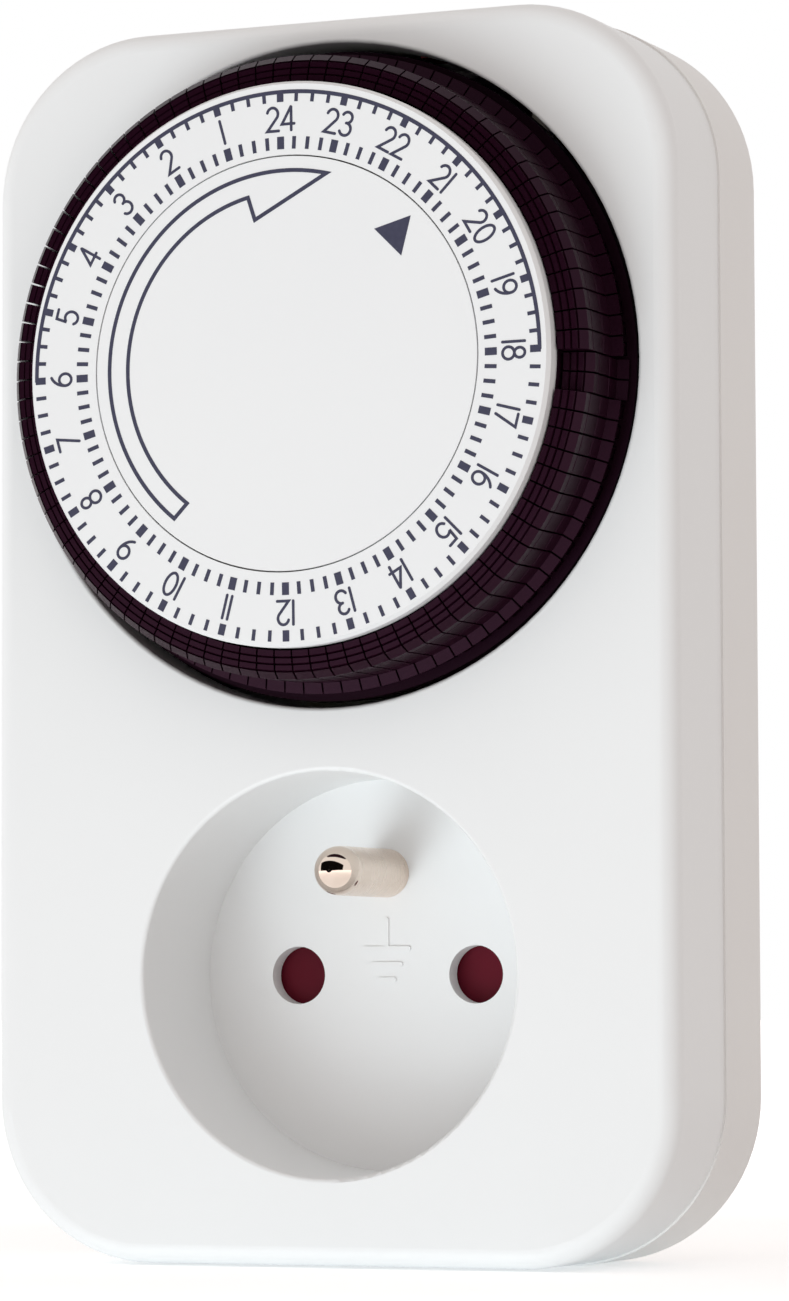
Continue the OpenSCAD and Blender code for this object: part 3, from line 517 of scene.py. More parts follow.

# %% [markdown]
# ### Enamelled winding
#
# The motor's coil is wound from enamelled copper wire, whose turns are fine ribs round the bobbin.
# Real turns could be modelled, but the coil sits in the motor's can, so a wave along the axis
# stands for them. The wire is taken as a quarter of a millimetre thick, and the ribs are drawn
# about six times as coarse, so that they can show in a render. The same wave colours the turns:
# darker in the grooves between them as painted shade, lighter on their crests as painted highlight.

# %% Enamelled winding
WIRE_PITCH = 0.25 * MM
COARSER = 2 * math.pi
RIB_PITCH = WIRE_PITCH * COARSER
WAVE_RADIANS = 20  # a wave texture of scale 1 turns through this much in a metre
COPPER_COIL, coil_tree = new_material("enamelled_copper_winding")
coil_place = add(coil_tree, "ShaderNodeTexCoord").outputs["Object"]
turns = add(
    coil_tree,
    "ShaderNodeTexWave",
    {
        "Vector": coil_place,
        "Scale": 2 * math.pi / (WAVE_RADIANS * RIB_PITCH),
        "Distortion": 0.4,
        "Detail": 1.0,
    },
    bands_direction="Y",
)
# The colour follows the relief: darker in the grooves between the turns as painted shade, lighter
# on the crests as painted highlight.
coil_shade_and_highlight = add(
    coil_tree,
    "ShaderNodeMix",
    {
        "Factor": turns.outputs["Fac"],
        FIRST_COLOUR: paint("#7d3a1c"),
        SECOND_COLOUR: paint("#b9683a"),
    },
    data_type="RGBA",
)
coil_relief = add(
    coil_tree,
    "ShaderNodeBump",
    {"Height": turns.outputs["Fac"], "Strength": 0.7, "Distance": 0.06 * MM},
)
coil_shader = add(
    coil_tree,
    "ShaderNodeBsdfPrincipled",
    {
        "Base Color": coil_shade_and_highlight.outputs[MIXED_COLOUR],
        "Metallic": 0.7,
        "Roughness": 0.3,
        "Normal": coil_relief.outputs["Normal"],
    },
)
add(coil_tree, "ShaderNodeOutputMaterial", {"Surface": coil_shader.outputs[0]})
print("ribs of the coil every", round(RIB_PITCH / MM, 2), "mm")

# %% [markdown]
# ## Every solid gets its material
#
# The record names a material slot for each node. Each solid could be dressed by hand, but one table
# from slot to finish can't forget one. The two sets of pins share a slot but not a tip, so they are
# told apart by name.

# %% Assign the materials
FINISH_OF_SLOT = {
    "shell_white": WHITE_SHELL,
    "cover_white": WHITE_COVER,
    "dial_white": DIAL_FACE_WHITE,
    "tappet_black": TAPPET_BLACK,
    "carrier_black": CARRIER_BLACK,
    "gear_plastic": NATURAL_ACETAL,
    "plate_plastic": PLATE_BLACK,
    "shutter_red": SHUTTER_RED,
    "slider_red": SLIDER_RED,
    "carrier_grey": GREY_CARRIER,
    "nickel": CLIP_NICKEL,
    "steel": ZINC_STEEL,
    "brass": BRASS,
    "bronze": BRONZE,
    "copper": COPPER_COIL,
    "magnet": MAGNET,
}
FINISH_OF_NODE = {"front_earth_pin": EARTH_PIN_NICKEL, "plug_pins": PLUG_PIN_NICKEL}

for row in frame["record"]["subparts"]:
    solid = frame["nodes"][row["node"]]
    finish = FINISH_OF_NODE.get(row["node"], FINISH_OF_SLOT[row["material_slot"]])
    if not solid.material_slots:
        solid.data.materials.append(finish)
    for material_slot in solid.material_slots:
        material_slot.material = finish

# %% [markdown]
# ## Printing ink
#
# The dial is pad printed with slate ink. It could be a pattern in the dial's material, but a print
# is a film of a few hundredths of a millimetre, so it is made as real geometry that stands that
# much above the plastic. Its matt skin has a faint mottle.

# %% Ink
INK_FILM = 0.03 * MM
MOTTLE_MM = 0.5
INK_SLATE, ink_tree = new_material("slate_printing_ink")
ink_place = add(ink_tree, "ShaderNodeTexCoord").outputs["Object"]
mottle = add(
    ink_tree,
    "ShaderNodeTexNoise",
    {"Vector": ink_place, "Scale": 1 / (MOTTLE_MM * MM), "Detail": 3.0},
)
ink_tint = add(
    ink_tree,
    "ShaderNodeMix",
    {
        "Factor": mottle.outputs["Fac"],
        FIRST_COLOUR: paint("#34344a"),
        SECOND_COLOUR: paint("#45455a"),
    },
    data_type="RGBA",
)
ink_relief = add(
    ink_tree,
    "ShaderNodeBump",
    {"Height": mottle.outputs["Fac"], "Strength": 0.4, "Distance": 0.004 * MM},
)
ink_shader = add(
    ink_tree,
    "ShaderNodeBsdfPrincipled",
    {
        "Base Color": ink_tint.outputs[MIXED_COLOUR],
        "Roughness": 0.5,
        "Specular IOR Level": 0.35,
        "Normal": ink_relief.outputs["Normal"],
    },
)
add(ink_tree, "ShaderNodeOutputMaterial", {"Surface": ink_shader.outputs[0]})
print("ink film in mm", round(INK_FILM / MM, 3))

# %% [markdown]
# ## The marks on the number ring
#
# A mark for every quarter of an hour stands on the inner and the outer edge of the ring, and the
# full hours are wider. Each could be placed by hand, but a small bar on the points of a circle is
# the kind of work that Geometry Nodes do best: one tree, with the count, the radii and the widths
# as inputs, makes both rings. It ends by making its copies real, since only a real mesh is
# exported.


# %% Geometry Nodes tree for a ring of marks
MARK_INPUTS = [
    ("Count", "NodeSocketInt", 96),
    ("Marks per hour", "NodeSocketInt", 4),
    ("Inner radius", "NodeSocketFloat", 20 * MM),
    ("Outer radius", "NodeSocketFloat", 21 * MM),
    ("Width", "NodeSocketFloat", 0.3 * MM),
    ("Hour width", "NodeSocketFloat", 0.6 * MM),
    ("Thickness", "NodeSocketFloat", INK_FILM),
    ("Ink", "NodeSocketMaterial", None),
]


def ring_of_marks_tree():
    """A tree that stands ink bars round the Z axis and widens the one at each full hour."""
    tree = bpy.data.node_groups.new("ring_of_marks", "GeometryNodeTree")
    tree.interface.new_socket("Geometry", in_out="OUTPUT", socket_type="NodeSocketGeometry")
    for name, kind, default in MARK_INPUTS:
        socket = tree.interface.new_socket(name, in_out="INPUT", socket_type=kind)
        if default is not None:
            socket.default_value = default
    given = add(tree, "NodeGroupInput").outputs
    inner, outer, per_hour = given["Inner radius"], given["Outer radius"], given["Marks per hour"]
    width, hour_width = given["Width"], given["Hour width"]

    # The circle runs through the middle of the bars, whose length is the width of the ring.
    both = add(tree, "ShaderNodeMath", {0: inner, 1: outer}, operation="ADD")
    middle = add(tree, "ShaderNodeMath", {0: both.outputs[0], 1: 0.5}, operation="MULTIPLY")
    length = add(tree, "ShaderNodeMath", {0: outer, 1: inner}, operation="SUBTRACT")
    circle = add(
        tree, "GeometryNodeMeshCircle", {"Vertices": given["Count"], "Radius": middle.outputs[0]}
    )
    bar_size = add(
        tree, "ShaderNodeCombineXYZ", {"X": length.outputs[0], "Y": width, "Z": given["Thickness"]}
    )
    bar = add(tree, "GeometryNodeMeshCube", {"Size": bar_size.outputs[0]})

    # Each bar is turned by its share of the full circle.
    index = add(tree, "GeometryNodeInputIndex").outputs[0]
    circles = add(tree, "ShaderNodeMath", {0: index, 1: 2 * math.pi}, operation="MULTIPLY")
    share = {0: circles.outputs[0], 1: given["Count"]}
    turn = add(tree, "ShaderNodeMath", share, operation="DIVIDE")
    rotation = add(tree, "ShaderNodeCombineXYZ", {"Z": turn.outputs[0]})

    # A bar whose number leaves no remainder stands at a full hour and is widened to its width.
    remainder = add(tree, "ShaderNodeMath", {0: index, 1: per_hour}, operation="MODULO")
    is_hour = add(tree, "ShaderNodeMath", {0: remainder.outputs[0], 1: 0.0}, operation="COMPARE")
    ratio = add(tree, "ShaderNodeMath", {0: hour_width, 1: width}, operation="DIVIDE")
    extra = add(tree, "ShaderNodeMath", {0: ratio.outputs[0], 1: 1.0}, operation="SUBTRACT")
    hour_extra = {0: extra.outputs[0], 1: is_hour.outputs[0]}
    widening = add(tree, "ShaderNodeMath", hour_extra, operation="MULTIPLY")
    widened = add(tree, "ShaderNodeMath", {0: widening.outputs[0], 1: 1.0}, operation="ADD")
    scale = add(tree, "ShaderNodeCombineXYZ", {"X": 1.0, "Y": widened.outputs[0], "Z": 1.0})

    bars = add(
        tree,
        "GeometryNodeInstanceOnPoints",
        {
            "Points": circle.outputs["Mesh"],
            "Instance": bar.outputs["Mesh"],
            "Rotation": rotation.outputs[0],
            "Scale": scale.outputs[0],
        },
    )
    real = add(tree, "GeometryNodeRealizeInstances", {"Geometry": bars.outputs["Instances"]})
    inked = add(
        tree,
        "GeometryNodeSetMaterial",
        {"Geometry": real.outputs["Geometry"], "Material": given["Ink"]},
    )
    add(tree, "NodeGroupOutput", {"Geometry": inked.outputs["Geometry"]})
    return tree


MARKS_TREE = ring_of_marks_tree()
print("tree", MARKS_TREE.name, "has", len(MARKS_TREE.nodes), "nodes")

# %% [markdown]
# ## From a flat drawing to the part
#
# Marks, numbers and lines are drawn flat, with two axes, across and up, and a height above the
# face. A turned object could carry such a drawing, but a finished piece keeps its place in its
# mesh. So a function gives each point its spot: across is X, up is Z, and the height points at the
# viewer, along -Y. The ring's print sits a little left and low of the ring's middle, and half a
# degree round, as pad prints do.

# %% From a flat drawing to its place on the part
PRINT_SHIFT = Vector((-0.1 * MM, -0.2 * MM))
PRINT_TURN = math.radians(0.55)


def to_dial(across, upward, height):
    """The place of a point that is drawn round the dial's axis."""
    return Vector((DIAL_X + across, DIAL_FACE - height, DIAL_Z + upward))


def to_ring(across, upward, height):
    """The place of a point of the number ring's print, with the print's shift and turn."""
    turned_across = across * math.cos(PRINT_TURN) - upward * math.sin(PRINT_TURN)
    turned_up = across * math.sin(PRINT_TURN) + upward * math.cos(PRINT_TURN)
    return to_dial(turned_across + PRINT_SHIFT.x, turned_up + PRINT_SHIFT.y, height)


def to_socket_floor(across, upward, height):
    """The place of a point on the socket's floor, drawn round the middle of the plug."""
    return Vector((across, SOCKET_FLOOR - height, upward))


print("middle of the ring's print", [round(v / MM, 2) for v in to_ring(0, 0, 0)])

# %% [markdown]
# ## Both rings of marks
#
# The tree runs once for each ring, as a modifier on an empty mesh, with that ring's own sizes. The
# result is kept as a plain mesh and the modifier goes, because a finished piece must hold its own
# points. The marks ride on the dial, as all of the ring's print does.


# %% Make both rings of marks
def add_piece(name, mesh, body):
    """Links a finished mesh as a piece that rides on a body of the part."""
    piece = bpy.data.objects.new(name, mesh)
    bpy.context.scene.collection.objects.link(piece)
    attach(piece, body)
    print(name, "triangles", sum(len(p.vertices) - 2 for p in mesh.polygons))


def ring_of_marks(name, values):
    """Runs the tree with these inputs and keeps its result as a plain mesh on the number ring."""
    holder = bpy.data.objects.new(name + "_maker", bpy.data.meshes.new(name + "_maker"))
    bpy.context.scene.collection.objects.link(holder)
    modifier = holder.modifiers.new("marks", "NODES")
    modifier.node_group = MARKS_TREE
    # A modifier knows its inputs by their identifiers, not by their names.
    for item in MARKS_TREE.interface.items_tree:
        if item.in_out == "INPUT" and item.name in values:
            modifier[item.identifier] = values[item.name]
    evaluated = holder.evaluated_get(bpy.context.evaluated_depsgraph_get())
    mesh = bpy.data.meshes.new_from_object(evaluated)
    mesh.name = name
    bpy.data.objects.remove(holder)
    for vertex in mesh.vertices:
        across, upward, height = vertex.co
        vertex.co = to_ring(across, upward, height + INK_FILM / 2)
    mesh.update()
    add_piece(name, mesh, "dial")


# Inner radius, outer radius, width of a mark and width at the full hour.
RINGS_OF_MARKS = {
    "inner_quarter_marks": (20.7 * MM, 21.9 * MM, 0.38 * MM, 0.72 * MM),
    "outer_quarter_marks": (25.25 * MM, 26.32 * MM, 0.36 * MM, 0.68 * MM),
}
for ring_name, (inner_radius, outer_radius, mark_width, hour_mark_width) in RINGS_OF_MARKS.items():
    ring_of_marks(
        ring_name,
        {
            "Inner radius": inner_radius,
            "Outer radius": outer_radius,
            "Width": mark_width,
            "Hour width": hour_mark_width,
            "Thickness": INK_FILM,
            "Ink": INK_SLATE,
        },
    )

# %% [markdown]
# ## Lines of one width
#
# The numbers, the arc over the night hours, the arrow and the earth symbol are all drawn with lines
# of one width. A font would bring its own letter shapes, and a bevelled curve grows thin in its
# corners. So the strokes are laid one by one: a path of points becomes a thin closed ribbon with
# mitred corners and round ends.


# %% A raised line along a path
MITRE_LIMIT = 3.0
END_STEPS = 4


def ribbon_sections(path, width, closed):
    """Left and right edge of the line at each point of the path, as pairs of flat points."""
    points = [Vector(p) for p in path]
    count = len(points)
    half = width / 2
    sections = []
    for i, point in enumerate(points):
        before = points[i - 1] if closed or i > 0 else None
        after = points[(i + 1) % count] if closed or i < count - 1 else None
        incoming = (after - point if before is None else point - before).normalized()
        outgoing = incoming if after is None else (after - point).normalized()
        side_in = Vector((-incoming.y, incoming.x))
        side_out = Vector((-outgoing.y, outgoing.x))
        side = (side_in + side_out).normalized()
        # A mitre grows as its corner sharpens, up to the limit.
        reach = half / max(side.dot(side_out), 1 / MITRE_LIMIT)
        sections.append((point + side * reach, point - side * reach))
    if closed:
        return sections
    for at_start in (True, False):
        end, next_in = (points[0], points[1]) if at_start else (points[-1], points[-2])
        outward = (end - next_in).normalized()
        # Left and right keep their sides, whichever end of the line is being rounded.
        side = Vector((outward.y, -outward.x)) if at_start else Vector((-outward.y, outward.x))
        cap = []
        for k in range(1, END_STEPS):
            turn = math.pi / 2 * k / END_STEPS
            centre = end + outward * half * math.sin(turn)
            edge = side * half * math.cos(turn)
            cap.append((centre + edge, centre - edge))
        sections = cap[::-1] + sections if at_start else sections + cap
    return sections


def raised_line(work, path, width, thickness, place, closed=False):
    """Adds a closed ribbon to a bmesh: place(across, up, height) gives each vertex its spot."""
    rows = []
    for left, right in ribbon_sections(path, width, closed):
        corners = ((left, 0), (left, thickness), (right, thickness), (right, 0))
        rows.append([work.verts.new(place(p.x, p.y, height)) for p, height in corners])
    next_rows = rows[1:] + rows[:1] if closed else rows[1:]
    for row, following in zip(rows, next_rows):
        for k in range(4):
            work.faces.new((row[k], row[(k + 1) % 4], following[(k + 1) % 4], following[k]))
    if not closed:
        work.faces.new(rows[0][::-1])
        work.faces.new(rows[-1])


def raised_mesh(name, work, material):
    """Turns a bmesh into a mesh with outward faces and one material."""
    bmesh.ops.recalc_face_normals(work, faces=work.faces)
    mesh = bpy.data.meshes.new(name)
    work.to_mesh(mesh)
    work.free()
    mesh.materials.append(material)
    return mesh


def arc(centre, radii, start, end, steps):
    """Points on an ellipse from one angle to another, in degrees."""
    angles = [math.radians(start + (end - start) * i / steps) for i in range(steps + 1)]
    return [
        (centre[0] + radii[0] * math.cos(a), centre[1] + radii[1] * math.sin(a)) for a in angles
    ]


print("a straight line has", len(ribbon_sections([(0, 0), (1, 0)], 0.1, False)), "sections")

# %% [markdown]
# ## The figures
#
# The dial's numbers are engraver's figures: plain strokes of one width, a 1 that is just a line.
# They could be points set by hand, but arcs say more with less. Each figure is drawn in a box one
# unit high, and the nine is the six turned round.

# %% Strokes of the ten figures
FIGURE_WIDTH = 0.56
SIX = [
    arc((0.28, 0.29), (0.26, 0.29), 180, -180, 24)[:-1],
    arc((0.60, 0.29), (0.58, 0.71), 180, 112, 8),
]
FIGURES = {
    "0": [arc((0.28, 0.5), (0.26, 0.5), 90, -270, 28)[:-1]],
    "1": [[(0.05, 0.0), (0.05, 1.0)]],
    "2": [arc((0.27, 0.73), (0.25, 0.27), 165, -38, 14) + [(0.02, 0.0), (0.55, 0.0)]],
    "3": [
        arc((0.26, 0.765), (0.23, 0.235), 155, -90, 14),
        arc((0.26, 0.27), (0.26, 0.27), 84, -155, 16),
    ],
    "4": [[(0.42, 1.0), (0.0, 0.27), (0.57, 0.27)], [(0.43, 0.98), (0.43, 0.0)]],
    "5": [
        [(0.50, 1.0), (0.09, 1.0), (0.05, 0.56)] + arc((0.26, 0.31), (0.27, 0.31), 128, -150, 16)
    ],
    "6": SIX,
    "7": [[(0.0, 1.0), (0.55, 1.0), (0.18, 0.0)]],
    "8": [
        arc((0.28, 0.765), (0.21, 0.235), 90, -270, 22)[:-1],
        arc((0.28, 0.265), (0.26, 0.265), 90, -270, 24)[:-1],
    ],
    "9": [[(FIGURE_WIDTH - x, 1 - y) for x, y in stroke] for stroke in SIX],
}
RING_FIGURES = ("0", "8")  # every stroke is a closed loop
LOOP_FIRST = ("6", "9")  # the first stroke is a closed loop
print("figures drawn", len(FIGURES))

# %% [markdown]
# ## The numbers 1 to 24
#
# The numbers read outwards, with their tops at the rim, and run anticlockwise, because the dial
# itself turns clockwise. Each is laid straight, as on a stamp, and the whole is turned to its hour.
# Where a figure has two strokes, the second is a hair thicker, so that their tops never lie in one
# plane.

# %% Draw the numbers
NUMBER_HEIGHT = 2.25 * MM
NUMBER_MIDDLE = 23.6 * MM
NUMBER_STROKE = 0.27 * MM
FIGURE_GAP = 0.14
ONE_WIDTH = 0.1
HOURS = 24
TOP_DEGREES = 90
STROKE_LIFT = 0.002 * MM


def draw_number(work, text, angle):
    """Lays one number on the dial at an angle from +X, its top outwards."""
    widths = [ONE_WIDTH if figure == "1" else FIGURE_WIDTH for figure in text]
    total = sum(widths) + FIGURE_GAP * (len(text) - 1)
    outward = Vector((math.cos(angle), math.sin(angle)))
    along = Vector((math.sin(angle), -math.cos(angle)))
    cursor = -total / 2
    for figure, width in zip(text, widths):
        for k, stroke in enumerate(FIGURES[figure]):
            path = [
                outward * (NUMBER_MIDDLE + (y - 0.5) * NUMBER_HEIGHT)
                + along * ((cursor + x) * NUMBER_HEIGHT)
                for x, y in stroke
            ]
            closed = figure in RING_FIGURES or (figure in LOOP_FIRST and k == 0)
            raised_line(work, path, NUMBER_STROKE, INK_FILM + k * STROKE_LIFT, to_ring, closed)
        cursor += width + FIGURE_GAP


numbers = bmesh.new()
for hour in range(1, HOURS + 1):
    draw_number(numbers, str(hour), math.radians(TOP_DEGREES + hour * 360 / HOURS))
add_piece("dial_numbers", raised_mesh("dial_numbers", numbers, INK_SLATE), "dial")

# %% [markdown]
# ## The night arc
#
# From 18 over 24 to 6 the outer marks hang from a line, which tells night from day. It could be a
# third ring of the tree, but it is one half circle, so one raised line is enough.

# %% Night arc
LINE_WIDTH = 0.38 * MM
NIGHT_RADIUS = 26.2 * MM
NIGHT_STEPS = 144
night = bmesh.new()
night_path = arc((0, 0), (NIGHT_RADIUS, NIGHT_RADIUS), 0, 180, NIGHT_STEPS)
raised_line(night, night_path, LINE_WIDTH, INK_FILM + STROKE_LIFT, to_ring)
add_piece("night_arc", raised_mesh("night_arc", night, INK_SLATE), "dial")

# %% [markdown]
# ## The turning arrow
#
# The fixed disc in the middle carries an outlined arrow that shows which way the dial turns. It
# runs once along the outside, round the tip, and back along the inside, so one closed line draws
# it. The disc stands still, so the arrow rides on the housing's body.

# %% Arrow on the fixed disc
ARROW_OUTER, ARROW_INNER = 18.45 * MM, 16.5 * MM
ARROW_OUTER_STEPS, ARROW_INNER_STEPS = 96, 80
ARROW_TAIL = 231.2
TAIL_SLANT = 0.6
ARROW_TIP = 76.0
ARROW_BARB = (102.3, 14.2 * MM)  # angle and radius
ARROW_NOTCH = 103.1


def polar(angle, radius):
    """A flat point at that angle, in degrees, and that radius."""
    return (radius * math.cos(math.radians(angle)), radius * math.sin(math.radians(angle)))


arrow_path = (
    arc((0, 0), (ARROW_OUTER, ARROW_OUTER), ARROW_TAIL, ARROW_TIP, ARROW_OUTER_STEPS)
    + [polar(*ARROW_BARB)]
    + arc(
        (0, 0),
        (ARROW_INNER, ARROW_INNER),
        ARROW_NOTCH,
        ARROW_TAIL + TAIL_SLANT,
        ARROW_INNER_STEPS,
    )
)
arrow = bmesh.new()
raised_line(arrow, arrow_path, LINE_WIDTH, INK_FILM, to_dial, closed=True)
add_piece("turning_arrow", raised_mesh("turning_arrow", arrow, INK_SLATE), "base")

# %% [markdown]
# ## The time pointer
#
# A filled triangle on the same disc points at the present time. A line can't fill it, so it is a
# flat prism of its own: three corners at the plastic, the same three on top of the ink.

# %% Triangle on the fixed disc
POINTER_ANGLE = 45.4
POINTER_TIP, POINTER_FOOT = 18.7 * MM, 15.45 * MM
POINTER_HALF_ANGLE = 7.2
pointer = bmesh.new()
corners = [
    polar(POINTER_ANGLE, POINTER_TIP),
    polar(POINTER_ANGLE + POINTER_HALF_ANGLE, POINTER_FOOT),
    polar(POINTER_ANGLE - POINTER_HALF_ANGLE, POINTER_FOOT),
]
low_ring = [pointer.verts.new(to_dial(x, y, 0)) for x, y in corners]
top_ring = [pointer.verts.new(to_dial(x, y, INK_FILM)) for x, y in corners]
pointer.faces.new(top_ring)
pointer.faces.new(low_ring[::-1])
for k in range(3):
    pointer.faces.new((low_ring[k], low_ring[(k + 1) % 3], top_ring[(k + 1) % 3], top_ring[k]))
add_piece("time_pointer", raised_mesh("time_pointer", pointer, INK_SLATE), "base")

# %% [markdown]
# ## The earth symbol
#
# Below the earth pin the general earth symbol is raised in the socket's floor by about a sixth of a
# millimetre: one upright line and three bars, each shorter than the last. A bump could suggest it,
# but only real relief throws a shadow and is in the exported mesh. It is moulded with the shell,
# so it takes the shell's plastic.

# %% Raised earth symbol
SYMBOL_RELIEF = 0.16 * MM
SYMBOL_LINE = 0.5 * MM
SYMBOL_TOP, SYMBOL_JOIN = 5.4 * MM, 2.55 * MM
# Height and length of each bar.
SYMBOL_BARS = [(2.55 * MM, 4.7 * MM), (1.0 * MM, 3.0 * MM), (-0.5 * MM, 1.6 * MM)]
symbol = bmesh.new()
upright = [(0, SYMBOL_JOIN), (0, SYMBOL_TOP)]
raised_line(symbol, upright, SYMBOL_LINE, SYMBOL_RELIEF, to_socket_floor)
for height, length in SYMBOL_BARS:
    bar_path = [(-length / 2, height), (length / 2, height)]
    raised_line(symbol, bar_path, SYMBOL_LINE, SYMBOL_RELIEF + STROKE_LIFT, to_socket_floor)
add_piece("earth_symbol", raised_mesh("earth_symbol", symbol, WHITE_SHELL), "base")

# %% [markdown]
# ## The floor
#
# The studio's floor is pale paper. Lamps that turn paper white would bleach a white housing, so the
# paper has a white of its own that only the camera and reflections see. Near the part that white
# is held back and the part's shadow shows. Further out the paper fades into the background.

# %% Floor
FLOOR_REACH = 6.0
FLOOR_GAP = 0.02 * MM
SHADOW_REACH = (80 * MM, 400 * MM)
OWN_WHITE_NEAR, OWN_WHITE_FAR = 0.4, 1.0
FIBRE_MM = 2
floor_mesh = bpy.data.meshes.new("floor")
floor_z = cad_low.z - FLOOR_GAP
floor_corners = ((-1, -1), (1, -1), (1, 1), (-1, 1))
floor_mesh.from_pydata(
    [(x * FLOOR_REACH, y * FLOOR_REACH, floor_z) for x, y in floor_corners], [], [(0, 1, 2, 3)]
)
floor = bpy.data.objects.new("floor", floor_mesh)
bpy.context.scene.collection.objects.link(floor)
floor.visible_shadow = False

FLOOR_PAPER, floor_tree = new_material("pale_floor_paper")
paper_place = add(floor_tree, "ShaderNodeTexCoord").outputs["Object"]
fibre = add(
    floor_tree,
    "ShaderNodeTexNoise",
    {"Vector": paper_place, "Scale": 1 / (FIBRE_MM * MM), "Detail": 4.0},
)
paper_tint = add(
    floor_tree,
    "ShaderNodeMix",
    {
        "Factor": fibre.outputs["Fac"],
        FIRST_COLOUR: paint("#f6f6f6"),
        SECOND_COLOUR: paint("#f3f3f3"),
    },
    data_type="RGBA",
)
lit_paper = add(floor_tree, "ShaderNodeBsdfDiffuse", {"Color": paper_tint.outputs[MIXED_COLOUR]})
seen_by = add(floor_tree, "ShaderNodeLightPath").outputs
sees_white = add(
    floor_tree,
    "ShaderNodeMath",
    {0: seen_by["Is Camera Ray"], 1: seen_by["Is Glossy Ray"]},
    operation="MAXIMUM",
)
away = add(floor_tree, "ShaderNodeVectorMath", {0: paper_place}, operation="LENGTH")
fade_out = add(
    floor_tree,
    "ShaderNodeMapRange",
    {
        "Value": away.outputs["Value"],
        "From Min": SHADOW_REACH[0],
        "From Max": SHADOW_REACH[1],
        "To Min": OWN_WHITE_NEAR,
        "To Max": OWN_WHITE_FAR,
    },
)
own_white = add(
    floor_tree,
    "ShaderNodeMath",
    {0: sees_white.outputs[0], 1: fade_out.outputs["Result"]},
    operation="MULTIPLY",
)
glow = add(
    floor_tree, "ShaderNodeEmission", {"Color": WHITE_LIGHT, "Strength": own_white.outputs[0]}
)
paper = add(floor_tree, "ShaderNodeAddShader", {0: lit_paper.outputs[0], 1: glow.outputs[0]})
add(floor_tree, "ShaderNodeOutputMaterial", {"Surface": paper.outputs[0]})
floor_mesh.materials.append(FLOOR_PAPER)
print("floor at", round(floor_z / MM, 2), "mm")

# %% [markdown]
# ## The room
#
# The world stands for a white room that lights the part evenly from all sides. It is plain white to
# the camera, in reflections and through clear parts, and a little dimmer and warmer as a light, so
# that a colour shows about as it is written. The Standard view keeps those colours as they are.

# %% World
bpy.context.scene.view_settings.view_transform = "Standard"

AMBIENT_LEVEL = 0.705
world = bpy.data.worlds.new("studio")
bpy.context.scene.world = world
world.use_nodes = True
world.node_tree.nodes.clear()
air = world.node_tree
ray = add(air, "ShaderNodeLightPath").outputs
through = add(
    air,
    "ShaderNodeMath",
    {0: ray["Is Camera Ray"], 1: ray["Is Transmission Ray"]},
    operation="MAXIMUM",
)
direct = add(
    air, "ShaderNodeMath", {0: through.outputs[0], 1: ray["Is Glossy Ray"]}, operation="MAXIMUM"
)
around = add(
    air, "ShaderNodeBackground", {"Color": paint("#fff8f5"), "Strength": AMBIENT_LEVEL}
)
white = add(air, "ShaderNodeBackground", {"Color": WHITE_LIGHT, "Strength": 1.0})
sky = add(
    air, "ShaderNodeMixShader", {0: direct.outputs[0], 1: around.outputs[0], 2: white.outputs[0]}
)
add(air, "ShaderNodeOutputWorld", {"Surface": sky.outputs[0]})
print("room's light", AMBIENT_LEVEL)

# %% [markdown]
# ## The lamps
#
# The photograph's light comes from the lower left in front: the pin throws its shadow up and to the
# right, and the socket's wall shades the floor below. One lamp could throw that shadow, but it
# would be too deep. A second one, nearer the camera, opens it, and both are large, so that the
# edges stay soft.


# %% Lamps
LAMP_DISTANCE = 2.2
LAMP_SIZE = 1.15
LAMP_TINT = "#effaff"


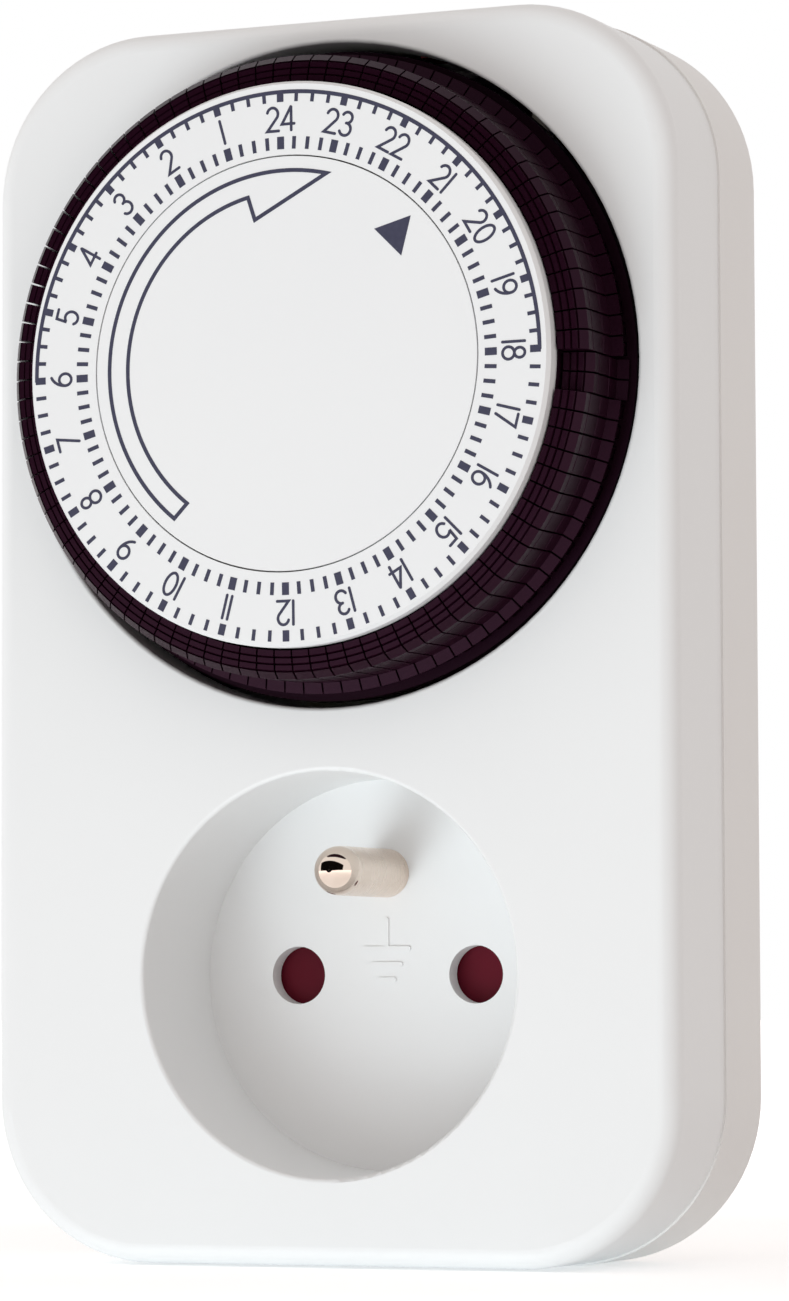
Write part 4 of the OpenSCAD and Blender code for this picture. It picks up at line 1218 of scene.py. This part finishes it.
def soft_lamp(name, azimuth, elevation, power):
    """A square area lamp that looks at the middle of the part."""
    data = bpy.data.lights.new(name, "AREA")
    data.shape = "SQUARE"
    data.size = LAMP_SIZE
    data.energy = power
    data.color = paint(LAMP_TINT)[:3]
    lamp = bpy.data.objects.new(name, data)
    bpy.context.scene.collection.objects.link(lamp)
    outward = away_from(azimuth, elevation)
    lamp.location = CAMERA_TARGET + outward * LAMP_DISTANCE
    lamp.rotation_euler = outward.to_track_quat("Z", "Y").to_euler()
    print("lamp", name, power, "watts")


soft_lamp("key", azimuth=-30, elevation=-40, power=17.0)
soft_lamp("front", azimuth=-14, elevation=-24, power=9.8)

# %% [markdown]
# ## A card for the metal
#
# Polished metal looks like metal only where it has something dark to mirror. A darker room would
# grey the white plastic too, so a black card stands to the left of the camera, seen by reflections
# alone: it neither shades the part nor shows in the picture.

# %% Black card for the reflections
CARD_AZIMUTH, CARD_ELEVATION, CARD_DISTANCE = -15, 18, 2.6
CARD_WIDTH, CARD_HEIGHT = 7.8, 2.4
NAP_MM = 3
card_out = away_from(CARD_AZIMUTH, CARD_ELEVATION)
card_side = Vector((0, 0, 1)).cross(card_out).normalized() * CARD_WIDTH / 2
card_up = card_out.cross(card_side.normalized()) * CARD_HEIGHT / 2
card_middle = CAMERA_TARGET + card_out * CARD_DISTANCE
card_corners = ((1, -1), (-1, -1), (-1, 1), (1, 1))
card_mesh = bpy.data.meshes.new("black_card")
card_mesh.from_pydata(
    [card_middle + card_side * x + card_up * y for x, y in card_corners], [], [(0, 1, 2, 3)]
)
card = bpy.data.objects.new("black_card", card_mesh)
bpy.context.scene.collection.objects.link(card)
card.visible_camera = card.visible_diffuse = card.visible_shadow = False
BLACK_CARD, card_tree = new_material("matt_black_card")
card_place = add(card_tree, "ShaderNodeTexCoord").outputs["Object"]
nap = add(
    card_tree,
    "ShaderNodeTexNoise",
    {"Vector": card_place, "Scale": 1 / (NAP_MM * MM), "Detail": 2.0},
)
card_tint = add(
    card_tree,
    "ShaderNodeMix",
    {
        "Factor": nap.outputs["Fac"],
        FIRST_COLOUR: paint("#101010"),
        SECOND_COLOUR: paint("#161616"),
    },
    data_type="RGBA",
)
matt_black = add(card_tree, "ShaderNodeBsdfDiffuse", {"Color": card_tint.outputs[MIXED_COLOUR]})
add(card_tree, "ShaderNodeOutputMaterial", {"Surface": matt_black.outputs[0]})
card_mesh.materials.append(BLACK_CARD)
print("card in metres", CARD_WIDTH, "by", CARD_HEIGHT)
